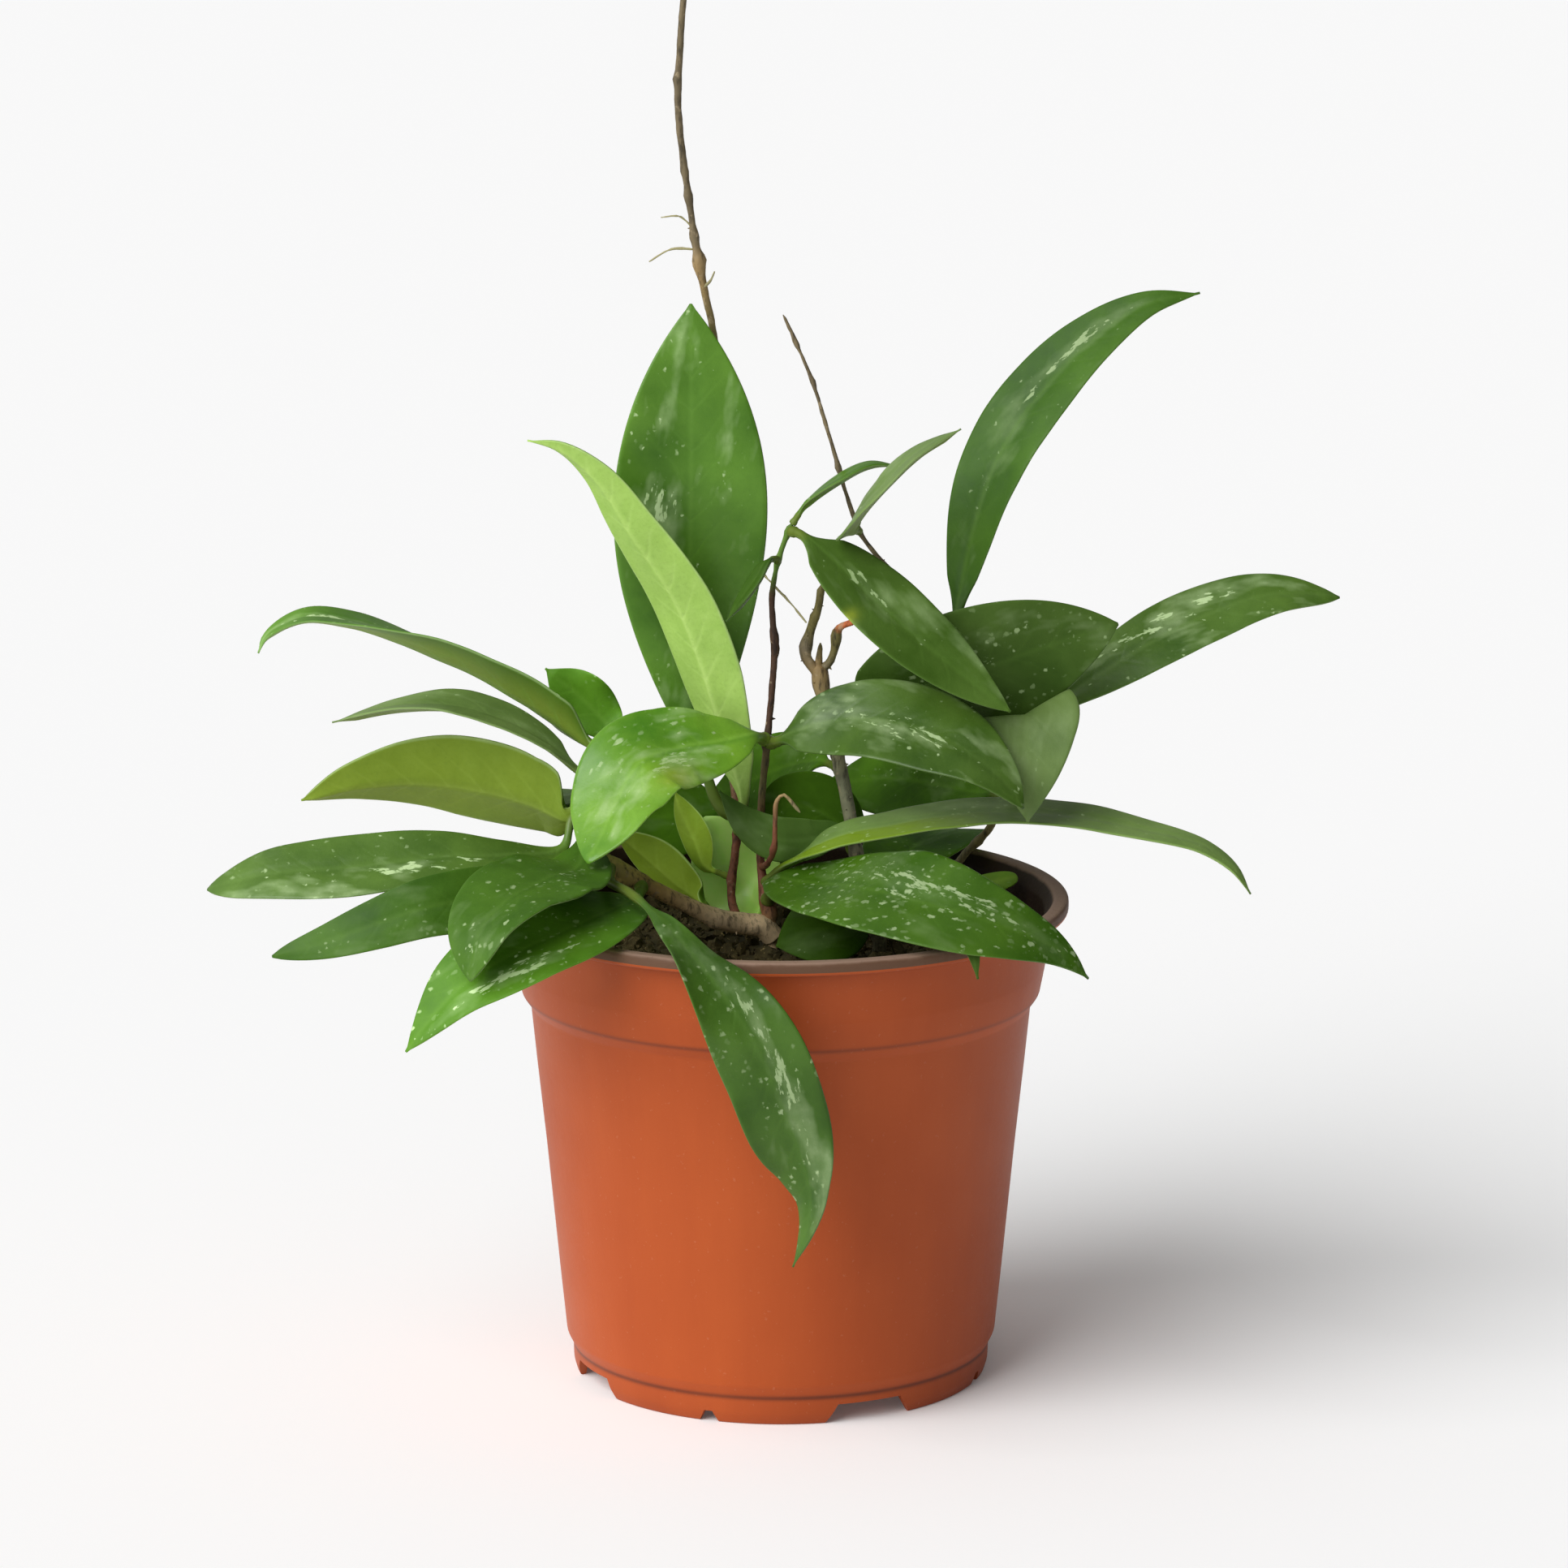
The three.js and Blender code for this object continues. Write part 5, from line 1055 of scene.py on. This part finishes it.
def bladeTree():  # wraps a grid round the midrib: each row goes over the upper side and back underneath
    tree, maker, given = newTree("leafBlade", {
        "Rows": blade["rows"], "Around": blade["around"], "Rib Thickness": blade["rib"] * mm,
        "Edge Thickness": blade["edge"] * mm, "Groove": blade["groove"] * mm, "Ridge": blade["ridge"] * mm,
        "Unevenness": blade["uneven"] * mm, "Fold": 0.1, "Curl": 0.0, "Wave": 0.0, "Flecks": 0.5, "Shade": 1.0,
        **markValues({}), "Seed": 1, "Material": None})
    columns = given["Around"] + 1.0
    grid = maker.out("GeometryNodeMeshGrid", {"Vertices X": given["Rows"], "Vertices Y": columns})
    index = maker.out("GeometryNodeInputIndex")
    row = ((index + 0.5) / columns).floored()
    turn = (index - row * columns) / given["Around"] * (2 * math.pi)

    def sampled(name, kind="FLOAT"):
        return maker.out("GeometryNodeSampleIndex", {
            "Geometry": given["Geometry"], "Value": maker.remembered(name, kind), "Index": row},
            data_type=kind, domain="POINT")

    half, share, spread, stalk, reach, closing = (sampled(name) for name in rowNames)
    centre, face, side = (sampled(name, "FLOAT_VECTOR") for name in ("position", "face", "side"))
    place, upper = -turn.cosine(), turn.sine()  # from edge to edge, and from the underside to the upper side
    out = place * half
    thickness = maker.blended((abs(place) * 1.4).lowest(1.0), given["Rib Thickness"], given["Edge Thickness"])
    thickness = thickness * (half / 0.0016).lowest(1.0).highest(0.25)  # thinner where it is narrow
    body = upper * 0.5 * thickness * (abs(upper).highest(0.0001) ** -0.6)
    folded = ((place * place + 0.006) ** 0.5 - 0.06) * half * given["Fold"].sine()
    curled = given["Curl"] * half * place * place
    waving = (share * blade["waves"]).sine() * (share * 4.0).lowest((1.0 - share) * 4.0).lowest(1.0)
    waving = waving * given["Wave"] * place * abs(place)
    number = given["Seed"] * blade["ownPattern"]
    bumps = maker.noise(maker.joined(out, reach * 0.7, number), *blade["bumps"])
    uneven = (bumps - 0.5) * given["Unevenness"] * 2.0 * (half / 0.006).lowest(1.0)
    rib = out.hump(blade["grooveWidth"] * mm) * (half / 0.004).lowest(1.0)
    carved = rib * given["Groove"] * upper.over(0.0) + rib * given["Ridge"] * (-upper).over(0.0)
    right = maker.blended(spread, place * stalk, out * given["Fold"].cosine())
    rise = maker.blended(spread, upper * stalk, folded - curled + waving + uneven + body - carved)
    spot = maker.vectors("ADD", maker.scaled(side, right * closing), maker.scaled(face, rise * closing))
    shaped = maker.out("GeometryNodeSetPosition", {
        "Geometry": grid, "Position": maker.vectors("ADD", centre, spot)})
    shaped = maker.kept(shaped, "leafPlace", maker.joined(out, reach, number), "FLOAT_VECTOR")
    values = {"across": place, "upper": upper, "leafShare": share, "flecks": given["Flecks"],
              "shade": given["Shade"]}
    for mark in ("Splash", "Yellow"):
        values[mark.lower()] = ((place - given[mark + " Across"]).hump(blade["markWidth"])
                                * (share - given[mark + " Share"]).hump(given[mark + " Length"]))
    for name, value in values.items():
        shaped = maker.kept(shaped, name, value)
    merged = maker.out("GeometryNodeMergeByDistance", {
        "Geometry": shaped, "Distance": blade["mergeWithin"] * mm})
    closeTree(maker, maker.out("GeometryNodeSetShadeSmooth", {0: merged}), given["Material"])
    return tree


def leafFinish(name, look):
    finish = dict(zip(finishParts, leafColours[look]))
    deep, light, ribColour, under = (rgb(*finish[part]) for part in ("dark", "light", "midrib", "under"))
    material, maker = newMaterial(name)
    place = maker.read("leafPlace", "Vector")
    across, side, share, flecks, shade, splash, yellow = (
        maker.read(key) for key in ("across", "upper", "leafShare", "flecks", "shade", "splash", "yellow"))
    broad, mottle, grain = (maker.noise(place, *leafPaint[key]) for key in ("broad", "mottle", "grain"))
    out, reach, number = maker.parts(place)

    def patterned(key, right, up, shift=0.0):  # a pattern that is stretched along the leaf
        return maker.noise(maker.joined(right, up, number + shift), *leafPaint[key])

    warped = maker.noise(place, *leafPaint["warp"]) * 0.004
    stripe = (reach - abs(out) * 1.15 + warped) / leafPaint["veinEvery"]
    vein = (abs(stripe - stripe.floored() - 0.5) - 0.38).highest(0.0) * 8.0 * (1.0 - abs(across)).clamped()
    rib = out.hump(0.0005) * (1.0 - share * 0.6)
    isUpper = (side * 6.0 + 0.5).clamped()
    nearStalk = (0.5 - across * 5.0).clamped() * ((0.5 - share) * 5.0).clamped()
    nearBase = [(nearStalk, leafPaint["nearBase"][look])] if look in leafPaint["nearBase"] else []
    silverAndSheen = maker.mixed(mottle, leafPaint["fleckAndSheenDark"], leafPaint["fleckAndSheenLight"])
    # Painted sheen: soft pale silver patches over the upper side, standing in for light that the leaf reflects.
    paintedSheenPatches = patterned("haze", out + abs(reach) * 0.15, reach * 0.4, 0.53) + splash * 0.16
    paintedSheenPatches = paintedSheenPatches.past(0.55, 0.2) * (0.4 + mottle)

    # Pale flecks: dots in cells, blots, and long streaks in the splashes
    crowd = (patterned("cluster", out * 1.2, reach * 0.6, 0.11) - 0.5) * 2.6 + flecks
    swirl = maker.scaled(maker.noise(place, *leafPaint["swirl"], "Color"), 0.0012)
    shifted = maker.vectors("ADD", maker.joined(out, reach * 0.8, number), swirl)
    cells = maker.node("ShaderNodeTexVoronoi", {"Vector": shifted, "Scale": leafPaint["cells"]})
    chance, strength, _ = maker.parts(maker.wire(cells, "Color"))
    size = (chance + crowd * 0.34 - 0.76).clamped() * 1.1
    dots = ((size - maker.wire(cells, "Distance")) / 0.24).clamped() * (0.12 + strength * strength * 0.8)
    blots = (patterned("blots", out, reach * 0.7) + crowd * 0.06).past(0.74, 0.05) * 0.8
    streak = patterned("streaks", out + abs(reach) * 0.12, reach * 0.3)
    long = (streak + crowd * 0.04 + splash * 0.3).past(0.8, 0.04) * 0.85
    pale = dots.highest(blots).highest(long) * isUpper * finish["flecks"]

    top = maker.layered(
        deep,
        ((broad * 2.6 - 0.8).clamped(), light),
        ((mottle - 0.35).clamped() * 0.6, light),
        (grain.past(0.45, 0.5) * 0.22, deep),
        *nearBase,
        ((paintedSheenPatches * finish["haze"]).clamped() * 0.75, silverAndSheen),
        (vein * 0.1, ribColour),
        ((out - 0.0008).hump(0.0006) * (1.0 - share) * 0.4, deep),
        (rib * 0.3, ribColour),
        (abs(across).past(0.96, 0.04) * 0.3, ribColour),
        (pale, silverAndSheen))
    low = maker.layered(
        under,
        ((broad * 2.0 - 0.6).clamped() * 0.25, deep),
        ((mottle - 0.4).clamped() * 0.6, ribColour),
        (vein * 0.25 + rib * 0.5, ribColour),
        (((abs(across) - 0.4) * 1.8).clamped() * finish["darkEdge"], deep),
        (grain.past(0.5, 0.25) * 0.14, deep),
        (abs(across).past(0.93, 0.05) * 0.25, silverAndSheen))
    base = maker.layered(
        # The shade value scales each leaf's colour; where it is well above 1 it is painted light on a leaf that
        # lies in shade.
        maker.scaled(maker.mixed(isUpper, low, top), shade),
        ((yellow * (mottle * 1.6 + 0.2)).clamped() * 0.55, leafPaint["yellow"]),
        ((1.0 - share / 0.05).clamped() * 0.8, leafPaint["stalk"]))
    shine = maker.blended(isUpper, 0.52 + mottle * 0.08,
                          finish["roughness"] + (mottle - 0.5) * 0.24 + pale * 0.1)
    height = grain * 0.3 + mottle - vein * 0.4 + pale * 0.25 + broad * 3.0
    fixed = {"IOR": 1.4, "Specular IOR Level": finish["gloss"], "Coat Roughness": 0.22, "Coat IOR": 1.35}
    surface(maker, fixed, Base_Color=base, Roughness=shine, Coat_Weight=isUpper * finish["coat"],
            Normal=maker.bumped(height, 0.28))
    return material


def camel(nodeName):
    first, *others = nodeName.split("_")
    return first + "".join(word.capitalize() for word in others)


# Building

finished(potShell(potPlastic("potOutside"), potInside("potInside")), "pot_plastic", "pot")
print("pot made")

bed = soilBed()
crumbs = crumbTree()
for name, key in (("soilCrumbs", "crumbs"), ("barkChips", "chips")):
    strewn = grown(name, bed.data.copy(), crumbs, {**soil[key], "Material": bed.data.materials[0]})
    finished(strewn, "soil")
finished(bed, "soil", "soil")
print("soil made")

bark = barkFinish()
skin = stemTree()
stemPieces = {"stem_main": ("vine", "left", "tall", "stub"), "stem_right": ("right", "knob", "bud", "fork"),
              "stem_far_right": ("farRight",)}
for seed, (node, names) in enumerate(stemPieces.items(), stem["firstSeed"]):
    strands = [strandOf(name) for name in names]
    strands += [rootStrand(points) for name, points in aerialRoots if name in names]
    piece = grown(camel(node), threadMesh(strands), skin, {"Seed": seed, "Material": bark})
    finished(piece, "bark", node)
print("stems made")

leafMaterials = {look: leafFinish("leaf" + look.capitalize(), look) for look in leafColours}
leafSlots = {entry["node"]: entry["material_slot"] for entry in frame["record"]["subparts"]}
bladeShape = bladeTree()
for seed, (name, leaf) in enumerate(leaves.items(), 1):
    piece = grown(camel(name), midribMesh(leaf, joins[name]), bladeShape, {
        "Fold": math.radians(leaf["fold"]), "Curl": leaf["curl"],
        "Wave": leaf["wave"] * blade["waveShare"] * mm, "Flecks": leaf["flecks"], "Shade": leaf["lightness"],
        **markValues(leafMarks.get(name, {})), "Seed": seed, "Material": leafMaterials[leaf["finish"]]})
    faceOutwards(piece.data)
    finished(piece, leafSlots[name], name)
print("leaves made")

# Studio

light = {
    "sun": {"azimuth": -50.0, "elevation": 36.0, "spread": 56.0, "strength": 3.1},
    "sky": {"middle": 0.33, "towardsRight": -0.32},
    "floor": {"half": 3.0, "colour": (0.98, 0.98, 0.98, 1.0), "roughness": 0.9, "glow": 0.05},
}
white = (1.0, 1.0, 1.0, 1.0)

half = light["floor"]["half"]
floorMesh = bpy.data.meshes.new("floor")
floorMesh.from_pydata([(-half, -half, 0), (half, -half, 0), (half, half, 0), (-half, half, 0)], [],
                      [(0, 1, 2, 3)])
floor = placed("floor", floorMesh)
floorPaint, maker = newMaterial("floorPaint")
surface(maker, {
    "Base Color": light["floor"]["colour"], "Roughness": light["floor"]["roughness"],
    "Specular IOR Level": 0.0, "Emission Color": white, "Emission Strength": light["floor"]["glow"]})
floorMesh.materials.append(floorPaint)

sun = light["sun"]
lamp = bpy.data.lights.new("window", "SUN")
lamp.energy, lamp.angle = sun["strength"], math.radians(sun["spread"])
window = placed("window", lamp)
window.rotation_euler = (math.radians(90 - sun["elevation"]), 0.0, math.radians(sun["azimuth"]))

scene.world = bpy.data.worlds.new("studio")
scene.world.use_nodes = True
scene.world.node_tree.nodes.clear()
maker = Maker(scene.world.node_tree)
sideways = maker.parts(maker.out("ShaderNodeTexCoord", None, "Generated"))[0]
sky = maker.out("ShaderNodeBackground", {
    "Color": white, "Strength": sideways * light["sky"]["towardsRight"] + light["sky"]["middle"]})
maker.node("ShaderNodeOutputWorld", {"Surface": sky})
scene.view_settings.view_transform = "Standard"

eyepiece = bpy.data.cameras.new("view")
eyepiece.lens, eyepiece.sensor_width = camera["lens"], camera["sensor"]
viewer = placed("view", eyepiece)
viewer.location = [value * mm for value in camera["place"]]
viewer.rotation_euler = (math.pi / 2 - camera["tilt"], 0.0, 0.0)
scene.camera = viewer
print("studio made")
